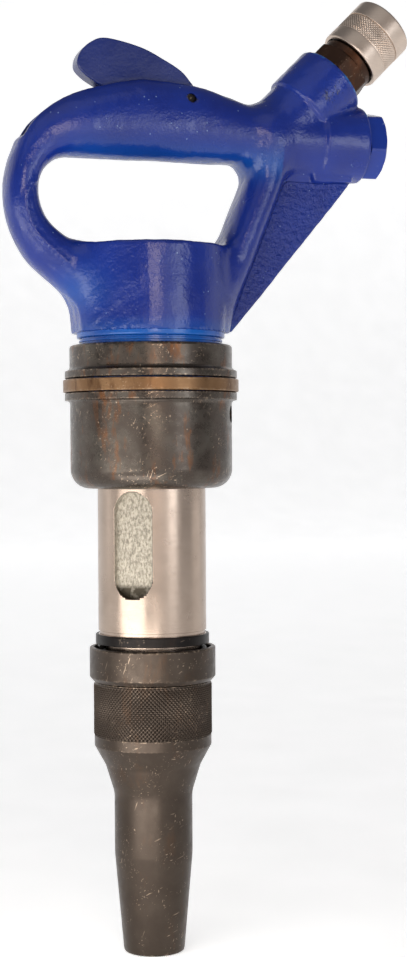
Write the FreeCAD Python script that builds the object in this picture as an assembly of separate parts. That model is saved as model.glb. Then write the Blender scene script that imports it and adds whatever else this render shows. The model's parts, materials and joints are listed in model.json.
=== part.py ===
import FreeCAD, Part
import math
import os

# A pneumatic hammer with a closed D handle, built as separate pieces.
# The origin is the centre of the nose's mouth. +Z runs up the barrel axis, +X points
# from the hand opening to the air inlet, and Y = 0 is the handle's mid-plane. Sizes are in mm.

# ---- Driving dimensions: nose and barrel ----
MOUTH_R = 10.2
MOUTH_DEPTH = 22.0
SNOUT_BORE_R = 15.0
SNOUT_TIP_R = 14.15
SNOUT_R = 18.05
SNOUT_CONE_TOP = 45.3
SNOUT_TOP = 75.0
BAND_LOW = 95.6
BAND_R = 27.1
KNURL_LOW = 100.2
KNURL_R = 27.5
RETAINER_TOP = 125.2
LOCK_RING_LOW = 125.4
LOCK_RING_TOP = 141.2
LOCK_RING_R = 29.15
LOCK_RING_POCKET_R = 27.05
LOCK_RING_FLOOR = 128.5
SEAT_RING_LOW = 142.7
SEAT_RING_TOP = 147.2
SEAT_RING_R = 26.3
LOCK_SPRING_R = 24.4
LOCK_SPRING_WIRE_R = 0.9
LUG_LOW = 110.0
LUG_HIGH = 116.0
LUG_R = 24.2
LUG_HALF_ANGLE = 35.0

BUSH_BORE_R = 8.7
BUSH_R = 14.0
BUSH_HEAD_R = 20.0
BUSH_LOW = 48.0
FOOT_Z = 100.0
BUSH_TOP = 108.0

BARREL_R = 25.0
FOOT_R = 22.0
FOOT_TOP = 144.2
BARREL_GROOVE_R = 24.3
BARREL_GROOVE_TOP = 148.8
BARREL_TOP = 283.0
PISTON_BORE_R = 14.28
SHOULDER_R = 29.0
SHOULDER_LOW = 225.0
SHOULDER_HIGH = 233.0
UPPER_BARREL_R = 24.0
COLLAR_R = 29.3
COLLAR_LOW = 275.0
SEAL_Z = 278.8
SEAL_GROOVE_R = 27.3
SEAL_GROOVE_HALF = 1.3
PASSAGE_R = 1.8
PASSAGE_LOW = 118.0
PASSAGE_RING_R = 19.2
PASSAGE_FOOT_R = 1.4
BARREL_PORT_R = 3.0
BARREL_PORT_Z = 240.0
POCKET_WIDTH = 18.4
POCKET_LOW = 164.4
POCKET_HIGH = 212.9
POCKET_FLOOR = 20.8
POCKET_ANGLE = -128.0

PISTON_LENGTH = 84.0
PISTON_CLEARANCE = 0.03
OIL_GROOVE_WIDTH = 1.6
OIL_GROOVE_DEPTH = 0.7

# ---- Driving dimensions: collars at the barrel's head ----
CUP_LOW = 214.2
CUP_R = 37.4
NUT_FLANGE_R = 39.8
CUP_FLANGE_LOW = 254.6
CUP_TOP = 258.0
LOCK_WASHER_R = 40.6
LOCK_WASHER_LOW = 258.4
LOCK_WASHER_TOP = 264.2
LOCK_NUT_LOW = 264.8
LOCK_NUT_STEP = 268.1
LOCK_NUT_TOP = 280.0
LOCK_NUT_R = 37.6
EXHAUST_Z = 248.0
EXHAUST_HOLE_R = 3.9
EXHAUST_WINDOW_R = 5.0
EXHAUST_ANGLE = -27.0

# ---- Driving dimensions: distribution valve ----
VALVE_BODY_R = 29.2
VALVE_BOX_TOP = 296.0
VALVE_COVER_TOP = 308.0
SPOOL_LOW = 288.2
SPOOL_R = 9.0
SPOOL_FLANGE_R = 12.0
PORT_R = 2.0
BARREL_AIR_R = 5.0
SUPPLY_R = 2.5
DOWEL_R = 1.97
DOWEL_RING_R = 24.0

# ---- Driving dimensions: handle ----
NECK_R = 33.2
NECK_LOW = 236.0
NECK_COLLAR_R = 34.2
NECK_COLLAR_LOW = 283.3
SOCKET_R = 29.5
SOCKET_FLOOR = 309.0
BODY_R = 35.1
BODY_LOW = 285.5
BODY_TOP = 325.2
OPENING_TOP = 365.4
FRAME_HALF_DEPTH = 13.5
FRAME_EDGE_R = 6.5
VALVE_AXIS_Z = 377.5
CHEST_R = 18.0
CHEST_STEP_X = 82.0
CHEST_END_X = 104.2
INLET_X = 60.0
INLET_ANGLE = 45.0
BOSS_R = 18.2
BOSS_STEP = 19.5
BOSS_RIM = 42.7
WEB_HALF_THICKNESS = 4.25
SLOT_HALF_WIDTH = 5.2
PIN_X = 16.7
PIN_Z = 393.0
PIN_R = 2.0
PIN_HALF_LENGTH = 10.5
AIR_PASSAGE_R = 4.0

# ---- Driving dimensions: throttle train along the valve axis ----
LEVER_HALF_THICKNESS = 4.75
FOOT_TIP_X = 17.4
FOOT_TIP_R = 3.0
PUSHER_R = 2.5
PUSHER_LEFT = 20.6
PUSHER_RIGHT = 56.2
GUIDE_LEFT = 27.5
GUIDE_RIGHT = 42.0
GUIDE_R = 5.0
PORT_CHAMBER_LEFT = 44.0
PORT_CHAMBER_R = 8.0
SEAT_LEFT = 58.0
SEAT_RIGHT = 62.0
VALVE_CHAMBER_R = 10.5
SEAT_BORE_R = 6.0
VALVE_HEAD_R = 8.2
VALVE_HEAD_RIGHT = 66.0
STEM_R = 3.1
STEM_RIGHT = 92.0
PLUG_BORE_LEFT = 88.0
PLUG_BORE_R = 12.0
PLUG_LEFT = 90.0
PLUG_SHOULDER_X = 105.0
PLUG_END_X = 113.4
PLUG_ACROSS_FLATS = 29.5
PLUG_TURN = 45.0

# ---- Driving dimensions: coupler, as distances along the inlet axis ----
INLET_BORE_R = 10.4
STRAINER_LOW = 17.0
STRAINER_TOP = 24.8
COUPLER_LOW = 25.0
COUPLER_HEX_AF = 27.0
COUPLER_HEX_TURN = 15.0
COUPLER_HEX_SHOULDER = 51.4
COUPLER_HEX_TOP = 56.0
COUPLER_TOP = 81.0
SLEEVE_LOW = 56.8
SLEEVE_TOP = 82.4
SLEEVE_R = 15.5
SLEEVE_SKIRT_R = 13.8
COUPLER_NECK_R = 11.4
PLUG_SOCKET_R = 6.05
SEAL_GROOVE_LOW = 63.0
SEAL_GROOVE_HIGH = 65.6
SNAP_RING_LOW = 79.0
BALL_POSITION = 72.0
BALL_R = 1.9

# ---- Clearances ----
GAP = 0.1
BODY_GAP = 0.3


def vec(x, y, z):
    return FreeCAD.Vector(x, y, z)


def disc(radius, low, high):
    """A cylinder on the Z axis."""
    return Part.makeCylinder(radius, high - low, vec(0, 0, low))


def ring(outer, inner, low, high):
    """A plain tube on the Z axis."""
    return disc(outer, low, high).cut(disc(inner, low, high))


def turned(profile):
    """A solid turned about Z from a closed outline of (radius, z) points."""
    corners = [vec(radius, 0, z) for radius, z in profile]
    wire = Part.makePolygon(corners + corners[:1])
    return Part.Face(wire).revolve(vec(0, 0, 0), vec(0, 0, 1), 360)


def hexagon(across_flats, low, high, first_corner):
    """A hexagonal prism on Z. first_corner is the angle of one corner, in degrees."""
    radius = across_flats / math.sqrt(3.0)
    corners = []
    for index in range(7):
        angle = math.radians(first_corner + 60.0 * index)
        corners.append(vec(radius * math.cos(angle), radius * math.sin(angle), low))
    return Part.Face(Part.makePolygon(corners)).extrude(vec(0, 0, high - low))


def coil(mean_radius, wire_radius, low, high, turns):
    """A compression spring on Z between the planes low and high."""
    start = low + wire_radius
    height = high - low - 2.0 * wire_radius
    helix = Part.makeHelix(height / turns, height, mean_radius)
    section = Part.Circle(vec(mean_radius, 0, 0), vec(0, 1, 0), wire_radius).toShape()
    spring = Part.Wire(helix).makePipeShell([Part.Wire(section)], True, True)
    spring.translate(vec(0, 0, start))
    return spring


def post(radius, from_axis, angle, low, high):
    """A cylinder parallel to the Z axis, at a distance from it."""
    x = from_axis * math.cos(math.radians(angle))
    y = from_axis * math.sin(math.radians(angle))
    return Part.makeCylinder(radius, high - low, vec(x, y, low))


def radial_hole(radius, start, end, angle, z):
    """A drill square to the Z axis, between two distances from it."""
    direction = vec(math.cos(math.radians(angle)), math.sin(math.radians(angle)), 0)
    return Part.makeCylinder(radius, end - start, vec(0, 0, z) + direction * start, direction)


def cross_hole(radius, x, z, half_length):
    """A cylinder along Y, centred on the handle's mid-plane."""
    return Part.makeCylinder(radius, 2.0 * half_length, vec(x, -half_length, z), vec(0, 1, 0))


def along_valve_axis(shape):
    """Lays a piece drawn on Z along the valve axis, so that its z becomes x."""
    shape.rotate(vec(0, 0, 0), vec(0, 1, 0), 90)
    shape.translate(vec(0, 0, VALVE_AXIS_Z))
    return shape


def along_inlet_axis(shape):
    """Lays a piece drawn on Z along the inlet axis."""
    shape.rotate(vec(0, 0, 0), vec(0, 1, 0), INLET_ANGLE)
    shape.translate(vec(INLET_X, 0, VALVE_AXIS_Z))
    return shape


def plate(wire, half_thickness):
    """A plate of the given outline in the XZ plane, centred on Y = 0."""
    wire.translate(vec(0, -half_thickness, 0))
    return Part.Face(wire).extrude(vec(0, 2.0 * half_thickness, 0))


def polygon_plate(points, half_thickness):
    """A plate with straight sides between (x, z) points."""
    corners = [vec(x, 0, z) for x, z in points]
    return plate(Part.makePolygon(corners + corners[:1]), half_thickness)


def smooth_curve(points):
    """An edge that runs smoothly through (x, z) points."""
    curve = Part.BSplineCurve()
    curve.interpolate([vec(x, 0, z) for x, z in points])
    return curve.toShape()


def line(first, second):
    return Part.makeLine(vec(first[0], 0, first[1]), vec(second[0], 0, second[1]))


def arc(first, middle, last):
    """An arc through three (x, z) points."""
    ends = [vec(x, 0, z) for x, z in (first, middle, last)]
    return Part.Arc(*ends).toShape()


# ---- Nose ----
def lug_sector(radius, middle, half_angle, low, high):
    """A ring sector round the barrel's foot, centred on the angle middle."""
    sector = Part.makeCylinder(radius, high - low, vec(0, 0, low), vec(0, 0, 1), 2 * half_angle)
    sector.rotate(vec(0, 0, 0), vec(0, 0, 1), middle - half_angle)
    return sector.cut(disc(FOOT_R - 0.5, low, high))


def nose_retainer():
    """Snout and knurled skirt in one turning, with a bayonet groove for the barrel's lugs."""
    foot_bore_r = FOOT_R + BODY_GAP
    bore_top = FOOT_Z - BODY_GAP
    outside = [
        (SNOUT_TIP_R - 0.5, 0.0), (SNOUT_TIP_R, 1.6), (SNOUT_R, SNOUT_CONE_TOP),
        (SNOUT_R, SNOUT_TOP), (18.8, 79.7), (21.5, 85.3), (24.6, 90.8), (BAND_R, BAND_LOW),
        (BAND_R, KNURL_LOW), (KNURL_R, KNURL_LOW), (KNURL_R, RETAINER_TOP - 0.6),
        (KNURL_R - 0.6, RETAINER_TOP),
    ]
    inside = [
        (foot_bore_r, RETAINER_TOP), (foot_bore_r, bore_top), (SNOUT_BORE_R, bore_top),
        (SNOUT_BORE_R, MOUTH_DEPTH + 4.0), (MOUTH_R, MOUTH_DEPTH), (MOUTH_R, 0.0),
    ]
    body = turned(outside + inside)
    groove_r = LUG_R + BODY_GAP
    body = body.cut(ring(groove_r, FOOT_R, LUG_LOW - BODY_GAP, LUG_HIGH + BODY_GAP))
    for side in (0.0, 180.0):
        entry = lug_sector(groove_r, side, LUG_HALF_ANGLE + 2.0, LUG_LOW, RETAINER_TOP)
        body = body.cut(entry)
    return body


def chisel_bush():
    """Hardened guide for the chisel's shank, seated in the barrel's foot by its head."""
    chamfer = 0.8
    return turned([
        (BUSH_BORE_R, BUSH_LOW + chamfer), (BUSH_BORE_R + chamfer, BUSH_LOW),
        (BUSH_R - chamfer, BUSH_LOW), (BUSH_R, BUSH_LOW + chamfer), (BUSH_R, FOOT_Z),
        (BUSH_HEAD_R, FOOT_Z), (BUSH_HEAD_R, BUSH_TOP), (BUSH_BORE_R, BUSH_TOP),
    ])


def retainer_lock_ring():
    """Sliding ring above the knurl. Its open top holds the spring."""
    bore_r = FOOT_R + BODY_GAP
    return turned([
        (bore_r, LOCK_RING_LOW), (LOCK_RING_R - 1.75, LOCK_RING_LOW),
        (LOCK_RING_R, LOCK_RING_LOW + 2.0), (LOCK_RING_R, LOCK_RING_TOP - 0.8),
        (LOCK_RING_R - 0.65, LOCK_RING_TOP), (LOCK_RING_POCKET_R, LOCK_RING_TOP),
        (LOCK_RING_POCKET_R, LOCK_RING_FLOOR), (bore_r, LOCK_RING_FLOOR),
    ])


def lock_ring_spring():
    """Spring that holds the lock ring down on the retainer."""
    return coil(LOCK_SPRING_R, LOCK_SPRING_WIRE_R, LOCK_RING_FLOOR + GAP, SEAT_RING_LOW - GAP, 3.5)


def spring_seat_ring():
    """Ring hooked under the barrel's step, which the lock ring's spring pushes against."""
    return turned([
        (FOOT_R + GAP, SEAT_RING_LOW), (SEAT_RING_R, SEAT_RING_LOW),
        (SEAT_RING_R, SEAT_RING_TOP - 0.4), (SEAT_RING_R - 0.4, SEAT_RING_TOP),
        (BARREL_R + GAP, SEAT_RING_TOP), (BARREL_R + GAP, FOOT_TOP - GAP),
        (FOOT_R + GAP, FOOT_TOP - GAP),
    ])


# ---- Barrel and piston ----
def wrench_pocket(angle):
    """A long pocket with round ends, milled into the barrel's side down to a flat floor."""
    half = POCKET_WIDTH / 2.0
    depth = BARREL_R + 2.0 - POCKET_FLOOR
    corner = vec(POCKET_FLOOR, -half, POCKET_LOW + half)
    cutter = Part.makeBox(depth, POCKET_WIDTH, POCKET_HIGH - POCKET_LOW - POCKET_WIDTH, corner)
    for z in (POCKET_LOW + half, POCKET_HIGH - half):
        cutter = cutter.fuse(Part.makeCylinder(half, depth, vec(POCKET_FLOOR, 0, z), vec(1, 0, 0)))
    cutter.rotate(vec(0, 0, 0), vec(0, 0, 1), angle)
    return cutter


def barrel_turning():
    """The barrel as it leaves the lathe, before its lugs, pockets and ports."""
    head_bore_r = BUSH_HEAD_R + 0.05
    outside = [
        (head_bore_r, FOOT_Z), (FOOT_R, FOOT_Z), (FOOT_R, FOOT_TOP), (BARREL_R, FOOT_TOP),
        (BARREL_R, SEAT_RING_TOP), (BARREL_GROOVE_R, SEAT_RING_TOP),
        (BARREL_GROOVE_R, BARREL_GROOVE_TOP), (BARREL_R, BARREL_GROOVE_TOP),
        (BARREL_R, SHOULDER_LOW), (SHOULDER_R, SHOULDER_LOW), (SHOULDER_R, SHOULDER_HIGH),
        (UPPER_BARREL_R, SHOULDER_HIGH), (UPPER_BARREL_R, COLLAR_LOW), (COLLAR_R, COLLAR_LOW),
        (COLLAR_R, SEAL_Z - SEAL_GROOVE_HALF), (SEAL_GROOVE_R, SEAL_Z - SEAL_GROOVE_HALF),
        (SEAL_GROOVE_R, SEAL_Z + SEAL_GROOVE_HALF), (COLLAR_R, SEAL_Z + SEAL_GROOVE_HALF),
        (COLLAR_R, BARREL_TOP),
    ]
    inside = [(PISTON_BORE_R, BARREL_TOP), (PISTON_BORE_R, BUSH_TOP), (head_bore_r, BUSH_TOP)]
    return turned(outside + inside)


def barrel():
    """Barrel with bayonet lugs, wrench pockets, exhaust ports and return air passages."""
    body = barrel_turning()
    for side in (90.0, 270.0):
        body = body.fuse(lug_sector(LUG_R, side, LUG_HALF_ANGLE, LUG_LOW, LUG_HIGH))
    for turn in (0.0, 180.0):
        body = body.cut(wrench_pocket(POCKET_ANGLE + turn))
    hole_start = PISTON_BORE_R - 1.0
    for index in range(4):
        angle = 45.0 + 90.0 * index
        port = radial_hole(BARREL_PORT_R, hole_start, UPPER_BARREL_R + 3.0, angle, BARREL_PORT_Z)
        body = body.cut(port)
    for side in (0.0, 180.0):
        body = body.cut(post(PASSAGE_R, PASSAGE_RING_R, side, PASSAGE_LOW, BARREL_TOP))
        foot_z = PASSAGE_LOW + 4.0
        body = body.cut(radial_hole(PASSAGE_FOOT_R, hole_start, PASSAGE_RING_R, side, foot_z))
    return body.removeSplitter()


def piston():
    """Free striker: a ground cylinder with chamfered ends and three oil grooves."""
    low = BUSH_TOP + BODY_GAP
    high = low + PISTON_LENGTH
    radius = PISTON_BORE_R - PISTON_CLEARANCE
    groove_r = radius - OIL_GROOVE_DEPTH
    outline = [(0, low), (radius - 3.0, low), (radius, low + 3.0)]
    for share in (0.3, 0.5, 0.7):
        groove = low + PISTON_LENGTH * share
        outline += [(radius, groove), (groove_r, groove), (groove_r, groove + OIL_GROOVE_WIDTH)]
        outline += [(radius, groove + OIL_GROOVE_WIDTH)]
    outline += [(radius, high - 1.5), (radius - 1.5, high), (0, high)]
    return turned(outline)


def barrel_seal():
    """Round sealing ring in the groove of the barrel's collar."""
    section_r = 1.0
    return Part.makeTorus(SEAL_GROOVE_R + section_r + 0.05, section_r, vec(0, 0, SEAL_Z))


# ---- Collars at the barrel's head ----
def barrel_clamp_nut():
    """Cup-shaped nut that pulls the barrel's shoulder up against the handle."""
    mouth_r = BARREL_R + 0.2
    thread_r = NECK_R + GAP
    body = turned([
        (mouth_r, CUP_LOW), (CUP_R - 8.5, CUP_LOW), (CUP_R - 4.6, CUP_LOW + 1.2),
        (CUP_R - 1.4, CUP_LOW + 4.4), (CUP_R, CUP_LOW + 9.0), (CUP_R, CUP_FLANGE_LOW - 2.8),
        (CUP_R + 0.8, CUP_FLANGE_LOW - 0.8), (NUT_FLANGE_R, CUP_FLANGE_LOW),
        (NUT_FLANGE_R, CUP_TOP), (thread_r, CUP_TOP), (thread_r, SHOULDER_LOW),
        (mouth_r, SHOULDER_LOW),
    ])
    for turn in (0.0, 180.0):
        angle = EXHAUST_ANGLE + turn
        hole = radial_hole(EXHAUST_HOLE_R, NECK_R - 3.0, NUT_FLANGE_R + 2.0, angle, EXHAUST_Z)
        body = body.cut(hole)
    return body


def lock_washer():
    """Bronze-coloured ring between the two nuts."""
    bore_r = NECK_R + GAP
    chamfer = 0.6
    return turned([
        (bore_r, LOCK_WASHER_LOW), (LOCK_WASHER_R - chamfer, LOCK_WASHER_LOW),
        (LOCK_WASHER_R, LOCK_WASHER_LOW + chamfer), (LOCK_WASHER_R, LOCK_WASHER_TOP - chamfer),
        (LOCK_WASHER_R - chamfer, LOCK_WASHER_TOP), (bore_r, LOCK_WASHER_TOP),
    ])


def lock_nut():
    """Upper nut that jams the washer against the clamp nut."""
    bore_r = NECK_R + GAP
    chamfer = 1.6
    return turned([
        (bore_r, LOCK_NUT_LOW), (NUT_FLANGE_R, LOCK_NUT_LOW),
        (NUT_FLANGE_R, LOCK_NUT_STEP - 0.5), (NUT_FLANGE_R - 0.6, LOCK_NUT_STEP),
        (LOCK_NUT_R + 0.4, LOCK_NUT_STEP + 1.2), (LOCK_NUT_R, LOCK_NUT_STEP + 2.4),
        (LOCK_NUT_R, LOCK_NUT_TOP - chamfer), (LOCK_NUT_R - chamfer, LOCK_NUT_TOP),
        (bore_r, LOCK_NUT_TOP),
    ])


# ---- Distribution valve, in the handle's socket above the barrel ----
def ported_disc(low, high):
    """A disc that fills the socket, with four vertical air ports."""
    body = disc(VALVE_BODY_R, low, high)
    for index in range(4):
        body = body.cut(post(PORT_R, PASSAGE_RING_R, 90.0 * index, low, high))
    return body


def dowel(radius, low, high):
    return post(radius, DOWEL_RING_R, 45.0, low, high)


def valve_box():
    """Lower half of the valve's housing, with the chamber for the spool's flange."""
    body = ported_disc(BARREL_TOP, VALVE_BOX_TOP)
    body = body.cut(disc(BARREL_AIR_R, BARREL_TOP, SPOOL_LOW))
    body = body.cut(disc(SPOOL_FLANGE_R + 0.05, SPOOL_LOW - 0.2, VALVE_BOX_TOP))
    return body.cut(dowel(DOWEL_R + 0.03, VALVE_BOX_TOP - 6.0, VALVE_BOX_TOP))


def valve_cover():
    """Upper half of the housing, which guides the spool and lets the air in."""
    body = ported_disc(VALVE_BOX_TOP, VALVE_COVER_TOP)
    body = body.cut(disc(SPOOL_R + 0.05, VALVE_BOX_TOP, VALVE_COVER_TOP - 4.0))
    body = body.cut(disc(SUPPLY_R, VALVE_COVER_TOP - 5.0, VALVE_COVER_TOP))
    return body.cut(dowel(DOWEL_R + 0.03, VALVE_BOX_TOP, VALVE_BOX_TOP + 6.0))


def shuttle_valve():
    """Light flanged spool that lifts 2 mm to send the air to either end of the piston."""
    bore_r = 3.5
    flange_top = SPOOL_LOW + 4.0
    spool_top = SPOOL_LOW + 13.3
    return turned([
        (bore_r, SPOOL_LOW), (SPOOL_FLANGE_R, SPOOL_LOW), (SPOOL_FLANGE_R, flange_top),
        (SPOOL_R, flange_top), (SPOOL_R, spool_top), (bore_r, spool_top),
    ])


def valve_dowel():
    """Pin that lines up the two halves of the valve's housing."""
    return dowel(DOWEL_R, VALVE_BOX_TOP - 5.9, VALVE_BOX_TOP + 5.9)


def valve_gasket():
    """Flat ring that seals the valve's cover against the socket's floor."""
    return ring(VALVE_BODY_R - 0.6, DOWEL_RING_R, VALVE_COVER_TOP, SOCKET_FLOOR)


# ---- Handle ----
def rounded_corner(before, corner, after):
    """The two tangent points and the middle point of a corner's arc, as (x, z) points."""
    x, z, radius = corner
    first = vec(before[0] - x, 0, before[1] - z).normalize()
    second = vec(after[0] - x, 0, after[1] - z).normalize()
    half_angle = first.getAngle(second) / 2.0
    inward = (first + second).normalize()
    reach = radius / math.tan(half_angle)
    points = [first * reach, inward * (radius / math.sin(half_angle) - radius), second * reach]
    return [(x + point.x, z + point.z) for point in points]


def rounded_outline(corners):
    """A closed wire through (x, z, radius) corners, each rounded by a tangent arc."""
    count = len(corners)
    arcs = [
        rounded_corner(corners[index - 1], corners[index], corners[(index + 1) % count])
        for index in range(count)
    ]
    edges = []
    for index, points in enumerate(arcs):
        edges.append(line(arcs[index - 1][2], points[0]))
        edges.append(arc(*points))
    return Part.Wire(edges)


def opening_wire():
    """The hand opening: flat top and bottom, a round left end and a leaning right side."""
    bottom = BODY_TOP + BODY_GAP
    return rounded_outline([
        (-53.3, OPENING_TOP, 15.0), (-53.3, 339.5, 21.0), (-37.5, bottom, 24.0),
        (32.5, bottom, 6.0), (48.9, OPENING_TOP, 6.5),
    ])


def frame_outer_wire():
    """Outside of the D: up the left arm, along the grip, and down the right arm."""
    left_and_top = smooth_curve([
        (-BODY_R, BODY_LOW), (-37.3, 297.5), (-45.5, 306.6), (-58.6, 318.3), (-66.6, 334.0),
        (-68.7, 350.0), (-65.3, 366.0), (-55.9, 382.7), (-37.4, 394.7), (-10.2, 402.1),
        (2.1, 402.5), (21.6, 400.8), (35.4, 396.6), (46.5, 393.4), (62.0, 392.0),
    ])
    right_side = [(62.0, 392.0), (66.5, 362.0), (BODY_R, 290.0), (BODY_R, BODY_LOW)]
    right_side.append((-BODY_R, BODY_LOW))
    lines = [line(start, end) for start, end in zip(right_side, right_side[1:])]
    return Part.Wire([left_and_top] + lines)


def rounded_frame():
    """The D with its long edges rounded on both faces."""
    body = plate(frame_outer_wire(), FRAME_HALF_DEPTH)
    body = body.cut(plate(opening_wire(), FRAME_HALF_DEPTH))
    long_edges = []
    for edge in body.Edges:
        middle = edge.CenterOfMass
        on_face = abs(abs(middle.y) - FRAME_HALF_DEPTH) < 0.01
        on_left_or_top = edge.Curve.TypeId == "Part::GeomBSplineCurve"
        on_opening = middle.z > BODY_TOP + 1.0 and middle.x < 46.0
        if on_face and (on_left_or_top or on_opening):
            long_edges.append(edge)
    return body.makeFillet(FRAME_EDGE_R, long_edges)


def handle_outside():
    """Everything the casting is made of, before its slot, socket and bores."""
    body = rounded_frame()
    body = body.fuse(disc(BODY_R, BODY_LOW, BODY_TOP))
    body = body.fuse(disc(NECK_R, NECK_LOW, BODY_LOW))
    body = body.fuse(disc(NECK_COLLAR_R, NECK_COLLAR_LOW, BODY_LOW))
    web = [(34.0, 290.0), (36.5, 286.2), (38.3, 286.2), (97.8, 357.1), (97.8, 366.0), (50.0, 366.0)]
    body = body.fuse(polygon_plate(web, WEB_HALF_THICKNESS))
    chest = disc(CHEST_R - 1.0, 46.0, CHEST_STEP_X).fuse(disc(CHEST_R, CHEST_STEP_X, CHEST_END_X))
    body = body.fuse(along_valve_axis(chest))
    boss = disc(BOSS_R - 1.2, 0.0, BOSS_STEP).fuse(disc(BOSS_R, BOSS_STEP, BOSS_RIM))
    return body.fuse(along_inlet_axis(boss))


def lever_slot():
    """Slot along the top of the grip, with a deeper pocket for the lever's foot."""
    floor_left, floor_right, pocket_floor, top = 372.5, 380.0, 371.5, 410.0
    return polygon_plate([
        (-75.0, floor_left), (9.0, floor_right), (9.0, pocket_floor), (27.0, pocket_floor),
        (27.0, top), (-75.0, top),
    ], SLOT_HALF_WIDTH)


def air_passage():
    """Two drilled legs that carry the air from the throttle down to the socket."""
    corners = [vec(54.0, 0, VALVE_AXIS_Z), vec(49.5, 0, 341.0), vec(22.5, 0, SOCKET_FLOOR - 3.0)]
    cutter = Part.makeSphere(AIR_PASSAGE_R, corners[1])
    for start, end in zip(corners, corners[1:]):
        leg = end - start
        cutter = cutter.fuse(Part.makeCylinder(AIR_PASSAGE_R, leg.Length, start, leg))
    return cutter


def throttle_bores():
    """Stepped bores of the valve chest, from the lever's pocket to its open end."""
    bores = disc(GUIDE_R + 0.05, PUSHER_LEFT, PORT_CHAMBER_LEFT + 1.0)
    bores = bores.fuse(disc(PORT_CHAMBER_R, PORT_CHAMBER_LEFT, SEAT_LEFT + 1.0))
    bores = bores.fuse(disc(VALVE_CHAMBER_R, SEAT_LEFT, PLUG_BORE_LEFT + 1.0))
    bores = bores.fuse(disc(PLUG_BORE_R, PLUG_BORE_LEFT, CHEST_END_X + 1.0))
    return along_valve_axis(bores)


def inlet_bores():
    """Strainer hole and threaded mouth of the inlet boss."""
    bores = disc(6.5, 12.0, COUPLER_LOW).fuse(disc(INLET_BORE_R, 24.0, BOSS_RIM + 1.0))
    return along_inlet_axis(bores)


def handle():
    """The casting: neck, socket, D grip, throttle chest, inlet boss and web."""
    body = handle_outside()
    body = body.cut(disc(SOCKET_R, NECK_LOW, SOCKET_FLOOR))
    body = body.cut(lever_slot())
    body = body.cut(cross_hole(PIN_R + 0.02, PIN_X, PIN_Z, 20.0))
    body = body.cut(throttle_bores())
    body = body.cut(inlet_bores())
    body = body.cut(air_passage())
    for index in range(6):
        angle = EXHAUST_ANGLE + 60.0 * index
        window = radial_hole(EXHAUST_WINDOW_R, SOCKET_R - 1.5, NECK_R + 2.8, angle, EXHAUST_Z)
        body = body.cut(window)
    # Thread grooves on the neck, which show above the lock nut.
    for z in (LOCK_NUT_TOP + 0.6, LOCK_NUT_TOP + 2.3):
        body = body.cut(ring(NECK_R + 0.5, NECK_R - 0.8, z, z + 0.7))
    return body.removeSplitter()


# ---- Throttle ----
def throttle_lever():
    """Leaf-shaped lever on a cross pin, with a foot that pushes the throttle pin."""
    foot_left = FOOT_TIP_X - FOOT_TIP_R
    foot_right = FOOT_TIP_X + FOOT_TIP_R
    leaf = smooth_curve([
        (19.2, 401.5), (14.2, 406.8), (5.4, 411.8), (-5.5, 416.6), (-21.4, 419.9),
        (-32.2, 414.6), (-35.4, 407.5), (-26.4, 399.0),
    ])
    edges = [
        leaf,
        line((-26.4, 399.0), (-13.0, 392.0)),
        line((-13.0, 392.0), (9.0, 384.0)),
        line((9.0, 384.0), (foot_left, 381.0)),
        line((foot_left, 381.0), (foot_left, VALVE_AXIS_Z)),
        arc((foot_left, VALVE_AXIS_Z), (FOOT_TIP_X, VALVE_AXIS_Z - FOOT_TIP_R),
            (foot_right, VALVE_AXIS_Z)),
        line((foot_right, VALVE_AXIS_Z), (21.5, 387.0)),
        arc((21.5, 387.0), (23.9, 394.0), (19.2, 401.5)),
    ]
    body = plate(Part.Wire(edges), LEVER_HALF_THICKNESS)
    return body.cut(cross_hole(PIN_R + 0.05, PIN_X, PIN_Z, 10.0))


def lever_pin():
    """Cross pin of the lever, sunk below both faces of the grip."""
    return cross_hole(PIN_R, PIN_X, PIN_Z, PIN_HALF_LENGTH)


def pusher_guide():
    """Bush that guides the pusher between the lever's foot and the valve."""
    return along_valve_axis(ring(GUIDE_R, PUSHER_R + 0.05, GUIDE_LEFT, GUIDE_RIGHT))


def throttle_pusher():
    """Pin that carries the push of the lever's foot to the poppet."""
    return along_valve_axis(turned([
        (0, PUSHER_LEFT), (PUSHER_R - 0.5, PUSHER_LEFT), (PUSHER_R, PUSHER_LEFT + 0.5),
        (PUSHER_R, PUSHER_RIGHT), (0, PUSHER_RIGHT),
    ]))


def throttle_seat():
    """Ring that the poppet closes against."""
    return along_valve_axis(ring(VALVE_CHAMBER_R - 0.05, SEAT_BORE_R, SEAT_LEFT, SEAT_RIGHT))


def throttle_valve():
    """Poppet: a nose that the pusher meets, a flat head, and a long guided stem."""
    nose_left = PUSHER_RIGHT + GAP
    head_left = SEAT_RIGHT + GAP
    return along_valve_axis(turned([
        (0, nose_left), (PUSHER_R, nose_left), (PUSHER_R, head_left), (VALVE_HEAD_R, head_left),
        (VALVE_HEAD_R, VALVE_HEAD_RIGHT), (STEM_R, VALVE_HEAD_RIGHT), (STEM_R, STEM_RIGHT),
        (0, STEM_RIGHT),
    ]))


def throttle_spring():
    """Spring that closes the poppet."""
    return along_valve_axis(coil(5.6, 0.8, VALVE_HEAD_RIGHT + GAP, PLUG_LEFT - GAP, 7))


def valve_plug():
    """Hexagon plug that closes the valve bore and guides the poppet's stem."""
    head = hexagon(PLUG_ACROSS_FLATS, PLUG_SHOULDER_X, PLUG_END_X, PLUG_TURN)
    corners_off = turned([
        (0, PLUG_SHOULDER_X), (17.1, PLUG_SHOULDER_X), (17.1, PLUG_END_X - 1.4),
        (15.0, PLUG_END_X), (0, PLUG_END_X),
    ])
    body = head.common(corners_off)
    body = body.fuse(disc(PLUG_BORE_R - 0.05, PLUG_LEFT, PLUG_SHOULDER_X))
    body = body.cut(disc(STEM_R + 0.05, PLUG_LEFT, PLUG_LEFT + 8.0))
    return along_valve_axis(body)


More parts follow.
